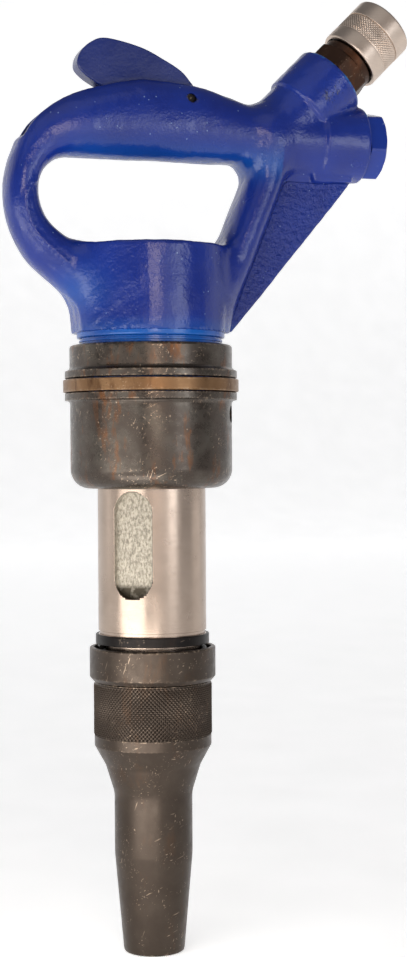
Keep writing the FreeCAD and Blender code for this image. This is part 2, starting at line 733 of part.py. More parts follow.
def plug_gasket():
    """Flat ring under the plug's hexagon."""
    return along_valve_axis(ring(14.4, PLUG_BORE_R + 0.05, CHEST_END_X, PLUG_SHOULDER_X))


# ---- Inlet coupler ----
def inlet_strainer():
    """Thimble of perforated sheet in the inlet bore."""
    wall = 0.6
    outer_r, rim_r = 6.2, 9.8
    rim_low = STRAINER_TOP - 0.8
    body = turned([
        (0, STRAINER_LOW), (outer_r, STRAINER_LOW), (outer_r, rim_low), (rim_r, rim_low),
        (rim_r, STRAINER_TOP), (outer_r - wall, STRAINER_TOP),
        (outer_r - wall, STRAINER_LOW + wall), (0, STRAINER_LOW + wall),
    ])
    for index in range(6):
        body = body.cut(radial_hole(1.3, 4.0, 8.0, 60.0 * index, STRAINER_LOW + 3.5))
    return along_inlet_axis(body)


def coupler_outside():
    """Threaded shank, neck, and a hexagon whose round end the sleeve can slide over."""
    round_end_r = COUPLER_HEX_AF / 2.0
    corners_off = turned([
        (0, BOSS_RIM), (13.6, BOSS_RIM), (15.2, BOSS_RIM + 1.5), (15.2, COUPLER_HEX_SHOULDER),
        (round_end_r, COUPLER_HEX_SHOULDER + 1.3), (round_end_r, COUPLER_HEX_TOP),
        (0, COUPLER_HEX_TOP),
    ])
    head = hexagon(COUPLER_HEX_AF, BOSS_RIM, COUPLER_HEX_TOP, COUPLER_HEX_TURN).common(corners_off)
    body = disc(INLET_BORE_R - GAP, COUPLER_LOW, BOSS_RIM).fuse(head)
    return body.fuse(disc(COUPLER_NECK_R, COUPLER_HEX_TOP, COUPLER_TOP))


def coupler_body():
    """Coupler fixed in the inlet, with the socket that takes the hose plug."""
    body = coupler_outside()
    body = body.cut(disc(5.0, COUPLER_LOW, 38.0))
    body = body.cut(disc(8.0, 38.0, 58.0))
    body = body.cut(disc(5.2, 58.0, 61.0))
    body = body.cut(disc(PLUG_SOCKET_R, 60.0, COUPLER_TOP))
    body = body.cut(ring(8.6, PLUG_SOCKET_R, SEAL_GROOVE_LOW, SEAL_GROOVE_HIGH))
    for index in range(4):
        hole = radial_hole(BALL_R + GAP, 3.0, 15.0, 90.0 * index + 45.0, BALL_POSITION)
        body = body.cut(hole)
    body = body.cut(ring(COUPLER_NECK_R, COUPLER_NECK_R - 0.8, SNAP_RING_LOW, SNAP_RING_LOW + 1.0))
    return along_inlet_axis(body)


def coupler_sleeve():
    """Sliding sleeve. Its inner land holds the balls in until it is pulled back."""
    mouth_r, land_r = 13.3, 11.7
    land_low, land_high = 70.6, 73.8
    return along_inlet_axis(turned([
        (SLEEVE_SKIRT_R, SLEEVE_LOW), (SLEEVE_R - 0.6, SLEEVE_LOW), (SLEEVE_R, SLEEVE_LOW + 0.6),
        (SLEEVE_R, SLEEVE_TOP - 1.0), (SLEEVE_R - 1.0, SLEEVE_TOP), (mouth_r, SLEEVE_TOP),
        (mouth_r, land_high), (land_r, land_high), (land_r, land_low),
        (SLEEVE_SKIRT_R, land_low),
    ]))


def coupler_spring():
    """Spring that pushes the sleeve forward over the balls."""
    return along_inlet_axis(coil(12.6, 0.7, COUPLER_HEX_TOP + 0.05, 70.5, 5))


def coupler_snap_ring():
    """Open wire ring that stops the sleeve's land from leaving the body."""
    middle = SNAP_RING_LOW + 0.5
    closed = Part.makeTorus(COUPLER_NECK_R - 0.05, 0.5, vec(0, 0, middle))
    gap = Part.makeBox(4.0, 3.0, 3.0, vec(9.5, -1.5, middle - 1.5))
    return along_inlet_axis(closed.cut(gap))


def coupler_balls():
    """Four balls that lock the hose plug in the socket."""
    balls = []
    for index in range(4):
        angle = math.radians(90.0 * index + 45.0)
        centre = vec(9.7 * math.cos(angle), 9.7 * math.sin(angle), BALL_POSITION)
        balls.append(Part.makeSphere(BALL_R, centre))
    return along_inlet_axis(Part.makeCompound(balls))


def coupler_seal():
    """Ring that seals round the hose plug."""
    middle = (SEAL_GROOVE_LOW + SEAL_GROOVE_HIGH) / 2.0
    return along_inlet_axis(Part.makeTorus(7.35, 1.2, vec(0, 0, middle)))


def coupler_check_valve():
    """Small valve that shuts the coupler when the hose plug leaves."""
    return along_inlet_axis(turned([
        (0, 49.0), (3.0, 49.0), (3.0, 52.0), (7.6, 52.0), (7.6, 57.8), (4.8, 57.8),
        (4.8, 60.6), (0, 60.6),
    ]))


def coupler_check_spring():
    """Spring that closes the coupler's small valve."""
    return along_inlet_axis(coil(5.6, 0.6, 38.1, 51.9, 5))


PIECES = [
    nose_retainer, chisel_bush, retainer_lock_ring, lock_ring_spring, spring_seat_ring,
    barrel, piston, barrel_seal, barrel_clamp_nut, lock_washer, lock_nut,
    valve_box, valve_cover, shuttle_valve, valve_dowel, valve_gasket,
    handle, throttle_lever, lever_pin, pusher_guide, throttle_pusher, throttle_seat,
    throttle_valve, throttle_spring, valve_plug, plug_gasket, inlet_strainer,
    coupler_body, coupler_sleeve, coupler_spring, coupler_snap_ring, coupler_balls,
    coupler_seal, coupler_check_valve, coupler_check_spring,
]


def main():
    """Builds every piece and writes each to its own STEP file."""
    os.makedirs("parts", exist_ok=True)
    for make in PIECES:
        shape = make()
        if not shape.isValid():
            raise ValueError(make.__name__ + " is not a valid shape")
        shape.exportStep("parts/" + make.__name__ + ".step")
        print(make.__name__, len(shape.Solids), round(shape.Volume / 1000.0, 2))


main()
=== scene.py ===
import json
import math

import bmesh
import bpy
import numpy as np
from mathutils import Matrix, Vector


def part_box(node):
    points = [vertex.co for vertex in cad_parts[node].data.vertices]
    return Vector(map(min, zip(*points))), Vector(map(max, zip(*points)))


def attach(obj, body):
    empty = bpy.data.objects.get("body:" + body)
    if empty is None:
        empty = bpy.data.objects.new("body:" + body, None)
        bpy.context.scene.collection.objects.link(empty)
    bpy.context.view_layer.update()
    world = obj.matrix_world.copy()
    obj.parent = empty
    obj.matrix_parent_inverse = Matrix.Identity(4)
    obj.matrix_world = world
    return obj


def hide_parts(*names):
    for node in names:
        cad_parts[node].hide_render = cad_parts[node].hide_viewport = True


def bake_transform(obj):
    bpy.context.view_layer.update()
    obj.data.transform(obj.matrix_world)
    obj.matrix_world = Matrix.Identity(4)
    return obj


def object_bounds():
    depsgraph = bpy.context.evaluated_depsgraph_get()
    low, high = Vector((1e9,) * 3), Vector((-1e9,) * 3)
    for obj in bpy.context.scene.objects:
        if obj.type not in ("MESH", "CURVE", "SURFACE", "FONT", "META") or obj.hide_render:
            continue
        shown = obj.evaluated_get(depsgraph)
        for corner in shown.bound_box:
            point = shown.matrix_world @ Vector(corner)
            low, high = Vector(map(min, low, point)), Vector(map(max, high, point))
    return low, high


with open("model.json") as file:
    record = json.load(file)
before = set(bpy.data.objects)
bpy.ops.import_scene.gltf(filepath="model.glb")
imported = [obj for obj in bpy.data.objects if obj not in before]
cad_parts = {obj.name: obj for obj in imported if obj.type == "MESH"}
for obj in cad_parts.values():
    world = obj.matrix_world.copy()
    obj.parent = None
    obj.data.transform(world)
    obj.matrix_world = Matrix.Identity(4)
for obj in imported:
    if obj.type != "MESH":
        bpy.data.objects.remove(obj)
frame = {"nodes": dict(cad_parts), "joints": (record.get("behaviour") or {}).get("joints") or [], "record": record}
cad_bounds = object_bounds()

# Shapes are worked out in millimetres in the row frame, and turned into metres when a mesh is made.
MM = 0.001


def node_box(node):
    """Lowest and highest corner of a CAD node, in millimetres."""
    low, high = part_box(node)
    return np.array(low) / MM, np.array(high) / MM


def ring_size(node):
    """Bottom, top and outer radius of a CAD piece turned about the barrel's axis."""
    low, high = node_box(node)
    return low[2], high[2], high[0]


# ---- sizes taken from the frame
HANDLE_LOW, HANDLE_HIGH = node_box("handle")
PLUG_LOW, PLUG_HIGH = node_box("valve_plug")
LEVER_LOW, LEVER_HIGH = node_box("throttle_lever")

VALVE_AXIS_Z = (PLUG_LOW[2] + PLUG_HIGH[2]) / 2.0
LEVER_JOINT = next(joint for joint in frame["joints"] if joint["name"] == "throttle_lever_press")
PIN_X, _, PIN_Z = np.array(LEVER_JOINT["pos_m"]) / MM

# ---- other sizes
INLET_ORIGIN = np.array([60.0, 0.0, VALVE_AXIS_Z])
INLET_ANGLE = math.radians(45.0)
BARREL_R = 25.0
COLLAR_BORE_R = 33.3
DRUM_R = 35.1
DRUM_LOW_Z = 285.5
DRUM_TOP_Z = 325.2
NECK_R = 33.2
SOCKET_R = 29.5
SOCKET_FLOOR_Z = 309.0
POCKET_LOW_Z = 164.4
POCKET_ANGLE = math.radians(-128.0)
SIDE_HOLE_ANGLE = math.radians(-27.0)
OPPOSITE_SIDES = (0.0, math.pi)

# ---- camera, in metres and degrees
CAMERA_PLACE = (-0.2353, -0.7760, 0.2308)
CAMERA_PITCH = 90.0 - 0.872
CAMERA_ROLL = 0.33
CAMERA_YAW = -18.575
CAMERA_LENS = 65.81
CAMERA_SENSOR = 36.0
CAMERA_AZIMUTH = -18.0


# ---- mesh helpers
def make_object(name, points, faces, material, body, replaces=()):
    """A piece from points in mm and a list of faces, riding on a CAD body if one is given."""
    mesh = bpy.data.meshes.new(name)
    mesh.from_pydata((np.asarray(points, float) * MM).tolist(), [], faces)
    mesh.validate()
    obj = bpy.data.objects.new(name, mesh)
    bpy.context.scene.collection.objects.link(obj)
    mesh.materials.append(material)
    if body is not None:
        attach(obj, body)
    for node in replaces:
        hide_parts(node)
    return obj


def add_attribute(mesh, name, values):
    """One number per point, for a material to read."""
    attribute = mesh.attributes.new(name, "FLOAT", "POINT")
    attribute.data.foreach_set("value", np.asarray(values, np.float32))


MERGE_DISTANCE = 1e-6


def clean_up(obj):
    """Merges doubled points and turns every face outwards."""
    shape = bmesh.new()
    shape.from_mesh(obj.data)
    bmesh.ops.remove_doubles(shape, verts=shape.verts, dist=MERGE_DISTANCE)
    bmesh.ops.recalc_face_normals(shape, faces=shape.faces)
    shape.to_mesh(obj.data)
    shape.free()


def apply_modifiers(obj):
    """Turns the modifiers' result into the object's own mesh."""
    depsgraph = bpy.context.evaluated_depsgraph_get()
    mesh = bpy.data.meshes.new_from_object(obj.evaluated_get(depsgraph))
    obj.modifiers.clear()
    obj.data = mesh


def smooth_shade(obj, sharp_angle=32.0, weighted=True):
    """Smooth shading that keeps edges over sharp_angle degrees crisp."""
    obj.data.shade_smooth()
    obj.data.set_sharp_from_angle(angle=math.radians(sharp_angle))
    if weighted:
        modifier = obj.modifiers.new("normals", "WEIGHTED_NORMAL")
        modifier.keep_sharp = True
        apply_modifiers(obj)


def bevel(obj, width, steps, angle):
    """Rounds edges sharper than angle degrees, by width in mm."""
    modifier = obj.modifiers.new("bevel", "BEVEL")
    modifier.width = width * MM
    modifier.segments = steps
    modifier.limit_method = "ANGLE"
    modifier.angle_limit = math.radians(angle)
    apply_modifiers(obj)


def cut_out(obj, cutter):
    """Cuts one mesh out of another and deletes the cutter."""
    modifier = obj.modifiers.new("cut", "BOOLEAN")
    modifier.operation = "DIFFERENCE"
    modifier.solver = "EXACT"
    modifier.material_mode = "TRANSFER"
    modifier.object = cutter
    apply_modifiers(obj)
    bpy.data.objects.remove(cutter)


def rounded(corners, steps=6):
    """Closed outline of (u, v) points from corners (u, v, radius), each turned into an arc."""
    outline = []
    count = len(corners)
    for index, (u, v, radius) in enumerate(corners):
        here = np.array([u, v])
        if radius == 0.0:
            outline.append(here)
            continue
        back = np.array(corners[index - 1][:2]) - here
        ahead = np.array(corners[(index + 1) % count][:2]) - here
        back /= np.linalg.norm(back)
        ahead /= np.linalg.norm(ahead)
        half = math.acos(np.clip(back @ ahead, -1.0, 1.0)) / 2.0
        reach = radius / math.tan(half)
        centre = here + (back + ahead) / np.linalg.norm(back + ahead) * radius / math.sin(half)
        first = here + back * reach - centre
        last = here + ahead * reach - centre
        for share in np.linspace(0.0, 1.0, steps + 1):
            blend = first * (1.0 - share) + last * share
            outline.append(centre + blend / np.linalg.norm(blend) * radius)
    return np.array(outline)


def grid_faces(rows, segments):
    """Faces of a grid of points that closes on itself in both directions."""
    faces = []
    for row in range(rows):
        low, high = row * segments, ((row + 1) % rows) * segments
        for column in range(segments):
            beside = (column + 1) % segments
            faces.append((low + column, low + beside, high + beside, high + column))
    return faces


def prism_faces(count):
    """Both ends and the sides between two copies of an outline of count points."""
    faces = [tuple(range(count)), tuple(range(2 * count - 1, count - 1, -1))]
    faces += [(n, (n + 1) % count, count + (n + 1) % count, count + n) for n in range(count)]
    return faces


def turn_points(outline, segments, radius_at=None):
    """Points and faces of a closed outline of (radius, height) turned about Z."""
    angles = np.arange(segments) * (2.0 * math.pi / segments)
    radius = np.repeat(np.array(outline)[:, :1], segments, axis=1)
    height = np.repeat(np.array(outline)[:, 1:], segments, axis=1)
    if radius_at is not None:
        radius = radius_at(radius, angles[None, :])
    points = np.stack([radius * np.cos(angles), radius * np.sin(angles), height], axis=-1)
    return points.reshape(-1, 3), grid_faces(len(outline), segments)


def cylinder(radius, low, high):
    """Points and faces of a closed cylinder on Z."""
    return turn_points([(0, low), (radius, low), (radius, high), (0, high)], 48)


def along_valve_axis(points):
    """Points drawn on Z, laid along the valve axis so that height becomes x."""
    x, y, z = points.T
    return np.stack([z, y, VALVE_AXIS_Z - x], axis=-1)


def along_inlet_axis(points):
    """Points drawn on Z, laid along the slanting inlet axis."""
    x, y, z = points.T
    c, s = math.cos(INLET_ANGLE), math.sin(INLET_ANGLE)
    return np.stack([x * c + z * s, y, z * c - x * s], axis=-1) + INLET_ORIGIN


def even_steps(outline, longest=0.9):
    """Adds points along a closed outline so that no side is longer than longest."""
    points = []
    for start, end in zip(np.asarray(outline, float), np.roll(outline, -1, axis=0)):
        count = max(1, math.ceil(np.linalg.norm(end - start) / longest))
        points += [start + (end - start) * share for share in np.arange(count) / count]
    return np.array(points)


EDGE_REACH = 0.6


def edge_wear(outline):
    """How near each outline point is to an outer corner: 0 on flats, up to 1 on crisp edges."""
    u, v = outline.T
    area = np.sum(u * np.roll(v, -1) - v * np.roll(u, -1))
    side = np.roll(outline, -1, axis=0) - outline
    heading = np.arctan2(side[:, 1], side[:, 0])
    turn = (heading - np.roll(heading, 1) + math.pi) % (2.0 * math.pi) - math.pi
    convex = np.maximum(turn * math.copysign(1.0, area), 0.0)
    gap = np.linalg.norm(outline[:, None] - outline[None], axis=-1)
    return np.clip((np.exp(-(gap / EDGE_REACH) ** 2) * convex).sum(axis=1), 0.0, 1.0)


def lathe(name, outline, material, body, replaces=(), segments=192, place=None,
          radius_at=None, sharp_angle=32.0):
    """A piece turned about Z, or about another axis by the function place."""
    outline = even_steps(outline)
    points, faces = turn_points(outline, segments, radius_at)
    if place is not None:
        points = place(points)
    obj = make_object(name, points, faces, material, body, replaces)
    add_attribute(obj.data, "edge", np.repeat(edge_wear(outline), segments))
    clean_up(obj)
    smooth_shade(obj, sharp_angle)
    return obj


def hexagonal(beyond, across_flats, first_corner, corner_round):
    """A radius_at that holds radii over beyond inside a hexagon with rounded corners."""
    def radius_at(radius, angle):
        turned = (angle - first_corner + math.pi / 6.0) % (math.pi / 3.0) - math.pi / 6.0
        flat = across_flats / 2.0 / np.cos(math.pi / 6.0 - np.abs(turned))
        hexagon = np.minimum(flat, across_flats / math.sqrt(3.0) - corner_round)
        return np.where(radius > beyond, np.minimum(radius, hexagon), radius)
    return radius_at


# ---- knurls
def knurl_band(name, radius, low, high, around, rise, depth, material, body, place=None):
    """A ring whose outside is cut into small pyramids by two crossing sets of grooves."""
    samples, backing = 6, 1.2
    rows = int(round((high - low) / rise)) * samples
    segments = around * samples
    heights = np.linspace(low, high, rows + 1)
    turn = np.arange(segments) / segments
    climb = (heights[:, None] - low) / rise
    ridges = [1.0 - 2.0 * np.abs((turn[None, :] * around + sign * climb) % 1.0 - 0.5)
              for sign in (1.0, -1.0)]
    fade = np.clip(np.minimum(heights - low, high - heights) / (0.5 * rise), 0.0, 1.0)
    relief = np.minimum(*ridges) * fade[:, None]
    inner = np.full((1, segments), radius - depth - backing)
    radii = np.concatenate([inner, radius - depth * (1.0 - relief), inner])
    levels = np.concatenate([[low], heights, [high]])
    angles = turn * 2.0 * math.pi
    points = np.stack([radii * np.cos(angles), radii * np.sin(angles),
                       np.repeat(levels[:, None], segments, axis=1)], axis=-1).reshape(-1, 3)
    faces = grid_faces(len(levels), segments)
    if place is not None:
        points = place(points)
    obj = make_object(name, points, faces, material, body)
    worn = np.concatenate([inner * 0.0, relief, inner * 0.0]).ravel()
    add_attribute(obj.data, "edge", 0.75 * worn ** 4)
    clean_up(obj)
    obj.data.shade_smooth()
    obj.data.set_sharp_from_angle(angle=math.radians(28.0))
    return obj


# ---- materials
class Material:
    """A small helper that builds one node material."""

    def __init__(self, name):
        self.material = bpy.data.materials.new(name)
        self.material.use_nodes = True
        self.tree = self.material.node_tree
        self.shader = self.tree.nodes["Principled BSDF"]
        coordinates = self.tree.nodes.new("ShaderNodeTexCoord")
        self.position = coordinates.outputs["Object"]

    def add(self, kind, inputs=None, **settings):
        """A new node with its settings, and its inputs by name."""
        node = self.tree.nodes.new(kind)
        for key, value in settings.items():
            setattr(node, key, value)
        for key, value in (inputs or {}).items():
            self.feed(node.inputs[key], value)
        return node

    def feed(self, socket, value):
        """Links another node's output to a socket, or sets its value."""
        if isinstance(value, bpy.types.NodeSocket):
            self.tree.links.new(value, socket)
        else:
            socket.default_value = value

    def stretched(self, scale):
        """Position scaled by a different amount on each axis."""
        node = self.add("ShaderNodeMapping", {"Vector": self.position, "Scale": scale})
        return node.outputs["Vector"]

    def noise(self, size_mm, detail=3.0, roughness=0.55, vector=None):
        """Noise between about 0.3 and 0.7 whose features are size_mm across."""
        node = self.add("ShaderNodeTexNoise", {
            "Vector": vector or self.position, "Scale": 1.0 / (size_mm * MM),
            "Detail": detail, "Roughness": roughness})
        return node.outputs["Fac"]

    def spots(self, size_mm):
        """Distance to the nearest of scattered points, in units of size_mm."""
        node = self.add("ShaderNodeTexVoronoi", {
            "Vector": self.position, "Scale": 1.0 / (size_mm * MM)})
        return node.outputs["Distance"]

    def ramp(self, value, low, high, out_low=0.0, out_high=1.0):
        """Value mapped from low..high to out_low..out_high, and clamped there."""
        node = self.add("ShaderNodeMapRange", {
            "Value": value, "From Min": low, "From Max": high,
            "To Min": out_low, "To Max": out_high}, clamp=True)
        return node.outputs["Result"]

    def math(self, operation, first, second=0.0):
        node = self.add("ShaderNodeMath", operation=operation)
        self.feed(node.inputs[0], first)
        self.feed(node.inputs[1], second)
        return node.outputs["Value"]

    def mix(self, factor, first, second):
        """Colour mix."""
        node = self.add("ShaderNodeMix", data_type="RGBA")
        self.feed(node.inputs["Factor"], factor)
        self.feed(node.inputs["A"], first)
        self.feed(node.inputs["B"], second)
        return node.outputs["Result"]

    def attribute(self, name):
        return self.add("ShaderNodeAttribute", attribute_name=name).outputs["Fac"]

    def height_part(self, axis):
        separate = self.add("ShaderNodeSeparateXYZ", {"Vector": self.position})
        return separate.outputs[axis]

    def bumps(self, layers):
        """Bump from (height, strength, distance in mm) layers, chained."""
        normal = None
        for height, strength, distance in layers:
            node = self.add("ShaderNodeBump", {
                "Height": height, "Strength": strength, "Distance": distance * MM})
            if normal is not None:
                self.feed(node.inputs["Normal"], normal)
            normal = node.outputs["Normal"]
        self.feed(self.shader.inputs["Normal"], normal)

    def set(self, **values):
        """Feeds the shader's sockets, named with _ for a space."""
        for key, value in values.items():
            self.feed(self.shader.inputs[key.replace("_", " ")], value)


def rgb(red, green, blue):
    """Linear colour from display values of 0 to 255."""
    def linear(value):
        value /= 255.0
        return value / 12.92 if value <= 0.04045 else ((value + 0.055) / 1.055) ** 2.4
    return (linear(red), linear(green), linear(blue), 1.0)


PAINT_SPECK = rgb(130, 156, 200)
PAINT_CHIP = rgb(38, 120, 190)
# Lighter blue for the painted highlights under the grip and at the saddle, and for the paler drum foot.
PALE_PAINT_AND_HIGHLIGHT = rgb(14, 84, 165)
DARK_SCUFF = rgb(22, 20, 30)
# Colour of the painted shade in the lever's slot and the pin's hole.
SLOT_SHADE_COLOUR = rgb(9, 11, 20)
BARE_STEEL = rgb(190, 168, 146)
STAIN_SPOT = rgb(70, 62, 55)


def paint_colour(m, base, deep):
    """The slow change between two blues, with a few pale specks."""
    colour = m.mix(m.ramp(m.noise(40.0, 2.0), 0.36, 0.64), deep, base)
    specks = m.ramp(m.spots(3.4), 0.07, 0.11, 1.0, 0.0)
    speck_mask = m.ramp(m.noise(11.0, 2.0), 0.5, 0.6, 0.0, 0.7)
    return m.mix(m.math("MULTIPLY", specks, speck_mask), colour, PAINT_SPECK)


def paint_gloss(m, colour, peel, more_bumps):
    """The paint's slow waves and orange peel, and its semi-gloss shine."""
    waves = (m.noise(5.0, 2.0, 0.5), 0.18, 0.5)
    fine = (m.noise(1.3, 2.0, 0.5), peel, 0.2)
    m.bumps(more_bumps + [waves, fine])
    m.set(Base_Color=colour, Roughness=m.ramp(m.noise(9.0, 3.0), 0.3, 0.7, 0.17, 0.28),
          Specular_IOR_Level=0.5)
    return m.material


def smooth_paint(name, base, deep):
    """Semi-gloss paint on a machined or pressed piece."""
    m = Material(name)
    return paint_gloss(m, paint_colour(m, base, deep), 0.3, [])


def casting_paint(name, base, deep):
    """Semi-gloss paint on the casting: paler paint and painted highlights, chipped edges, scuffs, painted shade
    and rough web.
    """
    m = Material(name)
    # Painted highlight under the grip and at the saddle, and paler paint at the drum's foot.
    colour = m.mix(m.attribute("pale_paint_and_highlight"), paint_colour(m, base, deep), PALE_PAINT_AND_HIGHLIGHT)
    chipped = m.ramp(m.noise(3.0, 4.0, 0.65), 0.42, 0.6)
    worn = m.math("MULTIPLY", m.attribute("edge"), chipped)
    colour = m.mix(m.math("MULTIPLY", worn, 0.8), colour, PAINT_CHIP)
    scratch = m.noise(1.6, 4.0, 0.7, m.stretched((1.0, 1.0, 0.35)))
    scuff = m.math("MULTIPLY", m.attribute("scuff"), m.ramp(scratch, 0.54, 0.6))
    colour = m.mix(scuff, colour, DARK_SCUFF)
    # Painted shade: the lever's slot and the pin's hole are darkened in the colour.
    colour = m.mix(m.attribute("painted_shade"), colour, SLOT_SHADE_COLOUR)
    rough_bump = m.math("MULTIPLY", m.noise(2.2, 4.0, 0.6), m.attribute("rough"))
    return paint_gloss(m, colour, 0.65, [(rough_bump, 1.0, 1.8)])


def scratches(m, amount):
    """Fine lines in four directions, and a few short nicks, as one factor."""
    bright = m.ramp(m.spots(11.0), 0.02, 0.035, 1.0, 0.0)
    where = m.ramp(m.noise(14.0, 3.0), 0.5, 0.58)
    for turn in (0.35, 1.1, -0.6, -1.3):
        tilted = m.add("ShaderNodeMapping", {
            "Vector": m.position, "Rotation": (turn, 0.3 * turn, turn),
            "Scale": (1.0, 1.0, 30.0)}, vector_type="TEXTURE").outputs["Vector"]
        line = m.ramp(m.noise(0.8, 1.0, 0.5, tilted), 0.71, 0.75)
        bright = m.math("MAXIMUM", bright, m.math("MULTIPLY", line, where))
    return m.math("MULTIPLY", bright, amount)


def black_steel(name, base, light, rust, rust_amount, scratch_amount, wear, gloss):
    """Black oxide on turned steel: tool marks, rust bloom, scratches and worn edges."""
    m = Material(name)
    rings = m.noise(0.5, 2.0, 0.5, m.stretched((0.05, 0.05, 1.0)))
    cloud = m.ramp(m.noise(12.0, 5.0, 0.6), 0.45, 0.68, 0.0, 0.45)
    colour = m.mix(cloud, base, light)
    streak = m.noise(10.0, 6.0, 0.7, m.stretched((1.0, 1.0, 0.3)))
    colour = m.mix(m.ramp(streak, 0.56, 0.68, 0.0, rust_amount), colour, rust)
    patchy = m.ramp(m.noise(1.8, 5.0, 0.7), 0.5, 0.62)
    rubbed = m.math("MULTIPLY", m.ramp(m.attribute("edge"), 0.3, 0.9, 0.0, wear), patchy)
    bright = m.math("MAXIMUM", scratches(m, scratch_amount), rubbed)
    colour = m.mix(bright, colour, BARE_STEEL)
    roughness = m.ramp(m.noise(4.0, 5.0, 0.65), 0.32, 0.68, gloss - 0.06, gloss + 0.12)
    m.bumps([(rings, 0.15, 0.05), (m.noise(0.9, 3.0), 0.2, 0.06), (bright, 0.3, 0.05)])
    m.set(Base_Color=colour, Metallic=0.85, Roughness=roughness)
    return m.material


def ground_steel(name, base, shade, gloss):
    """Ground bright steel with fine lines round it and faint stains."""
    m = Material(name)
    lines = m.noise(0.3, 3.0, 0.6, m.stretched((0.04, 0.04, 1.0)))
    stain = m.ramp(m.noise(22.0, 5.0, 0.6), 0.45, 0.72, 0.0, 0.4)
    colour = m.mix(stain, base, shade)
    colour = m.mix(m.ramp(lines, 0.3, 0.7, 0.0, 0.25), colour, shade)
    colour = m.mix(m.ramp(m.spots(9.0), 0.02, 0.035, 0.6, 0.0), colour, STAIN_SPOT)
    roughness = m.ramp(m.noise(8.0, 4.0), 0.3, 0.7, gloss - 0.03, gloss + 0.07)
    m.bumps([(lines, 0.3, 0.04), (m.noise(1.2, 3.0), 0.08, 0.05)])
    m.set(Base_Color=colour, Metallic=1.0, Roughness=roughness, Anisotropic=0.3)
    return m.material


def milled_floor(name):
    """The pocket's rough milled floor, with cutter marks and a dark sooty lower end."""
    soot_depth, soot_fade = 4.6, 2.2
    soot_low = (POCKET_LOW_Z + soot_depth) * MM
    m = Material(name)
    marks = m.noise(0.9, 4.0, 0.7, m.stretched((1.0, 1.0, 0.5)))
    colour = m.mix(m.ramp(marks, 0.38, 0.6), rgb(128, 121, 108), rgb(196, 188, 172))
    low_end = m.ramp(m.height_part("Z"), soot_low, soot_low + soot_fade * MM, 1.0, 0.0)
    soot = m.ramp(m.noise(3.0, 4.0), 0.3, 0.5, 0.5, 1.0)
    colour = m.mix(m.math("MULTIPLY", low_end, soot), colour, rgb(62, 54, 40))
    m.bumps([(marks, 0.6, 0.25)])
    m.set(Base_Color=colour, Metallic=0.4, Roughness=m.ramp(marks, 0.3, 0.7, 0.45, 0.65))
    return m.material


def plain_metal(name, base, shade, gloss):
    """Plain metal of two shades, for the inner pieces."""
    m = Material(name)
    colour = m.mix(m.ramp(m.noise(5.0, 4.0), 0.4, 0.7), base, shade)
    m.bumps([(m.noise(0.7, 3.0), 0.15, 0.05)])
    roughness = m.ramp(m.noise(3.0, 3.0), 0.3, 0.7, gloss - 0.05, gloss + 0.08)
    m.set(Base_Color=colour, Metallic=1.0, Roughness=roughness)
    return m.material


def rubber(name):
    """Matt black rubber for the seals and gaskets."""
    m = Material(name)
    colour = m.mix(m.ramp(m.noise(2.0, 3.0), 0.4, 0.7), rgb(20, 20, 20), rgb(38, 37, 36))
    m.bumps([(m.noise(0.5, 3.0), 0.2, 0.05)])
    m.set(Base_Color=colour, Roughness=m.ramp(m.noise(3.0), 0.3, 0.7, 0.6, 0.8))
    return m.material


PAINT = casting_paint("blue_paint", rgb(20, 48, 140), rgb(18, 38, 120))
PLUG_PAINT = smooth_paint("plug_paint", rgb(18, 52, 146), rgb(16, 40, 125))
# A lit copy of the handle's blue: the neck's paint is coloured brighter and more cyan as a painted highlight.
LIT_NECK_PAINT = smooth_paint("lit_neck_paint", rgb(10, 98, 188), rgb(10, 72, 158))
LEVER_PAINT = smooth_paint("lever_paint", rgb(28, 44, 112), rgb(24, 38, 100))
COLLAR_STEEL = black_steel("collar_steel", rgb(78, 70, 64), rgb(108, 104, 96), rgb(120, 74, 38),
                           rust_amount=0.7, scratch_amount=0.8, wear=0.5, gloss=0.26)
NOSE_STEEL = black_steel("nose_steel", rgb(66, 57, 50), rgb(80, 71, 63), rgb(90, 64, 44),
                         rust_amount=0.3, scratch_amount=0.4, wear=0.4, gloss=0.34)
DARK_RING = black_steel("dark_ring_steel", rgb(30, 27, 26), rgb(46, 41, 38), rgb(60, 45, 35),
                        rust_amount=0.2, scratch_amount=0.2, wear=0.0, gloss=0.36)
BRONZE = black_steel("bronze_ring_metal", rgb(126, 95, 66), rgb(152, 120, 88), rgb(74, 46, 27),
                     rust_amount=0.75, scratch_amount=0.7, wear=0.3, gloss=0.32)
BROWN_STEEL = black_steel("brown_steel", rgb(66, 46, 36), rgb(84, 62, 46), rgb(104, 62, 36),
                          rust_amount=0.5, scratch_amount=0.3, wear=0.0, gloss=0.38)
GROUND = ground_steel("ground_steel", rgb(180, 162, 148), rgb(150, 133, 118), 0.22)
MILLED = milled_floor("milled_floor")
NICKEL = ground_steel("satin_nickel", rgb(220, 203, 189), rgb(182, 165, 150), 0.36)
PLAIN = plain_metal("plain_steel", rgb(150, 148, 144), rgb(110, 106, 100), 0.35)
WIRE = plain_metal("spring_steel", rgb(58, 55, 53), rgb(40, 38, 36), 0.35)
RUBBER = rubber("seal_rubber")

SLOT_MATERIAL = {
    "blue_paint": PLUG_PAINT, "lever_paint": LEVER_PAINT, "black_oxide_steel": COLLAR_STEEL,
    "dark_ring": DARK_RING, "bronze_ring": BRONZE, "ground_steel": GROUND, "plain_steel": PLAIN,
    "spring_steel": WIRE, "brown_steel": BROWN_STEEL, "satin_nickel": NICKEL,
    "rubber_seal": RUBBER,
}


def dress_cad_nodes():
    """Gives every CAD node the material of its slot in the record."""
    slots = {part["node"]: part["material_slot"] for part in frame["record"]["subparts"]}
    for name, obj in frame["nodes"].items():
        obj.data.materials.clear()
        obj.data.materials.append(SLOT_MATERIAL[slots[name]])


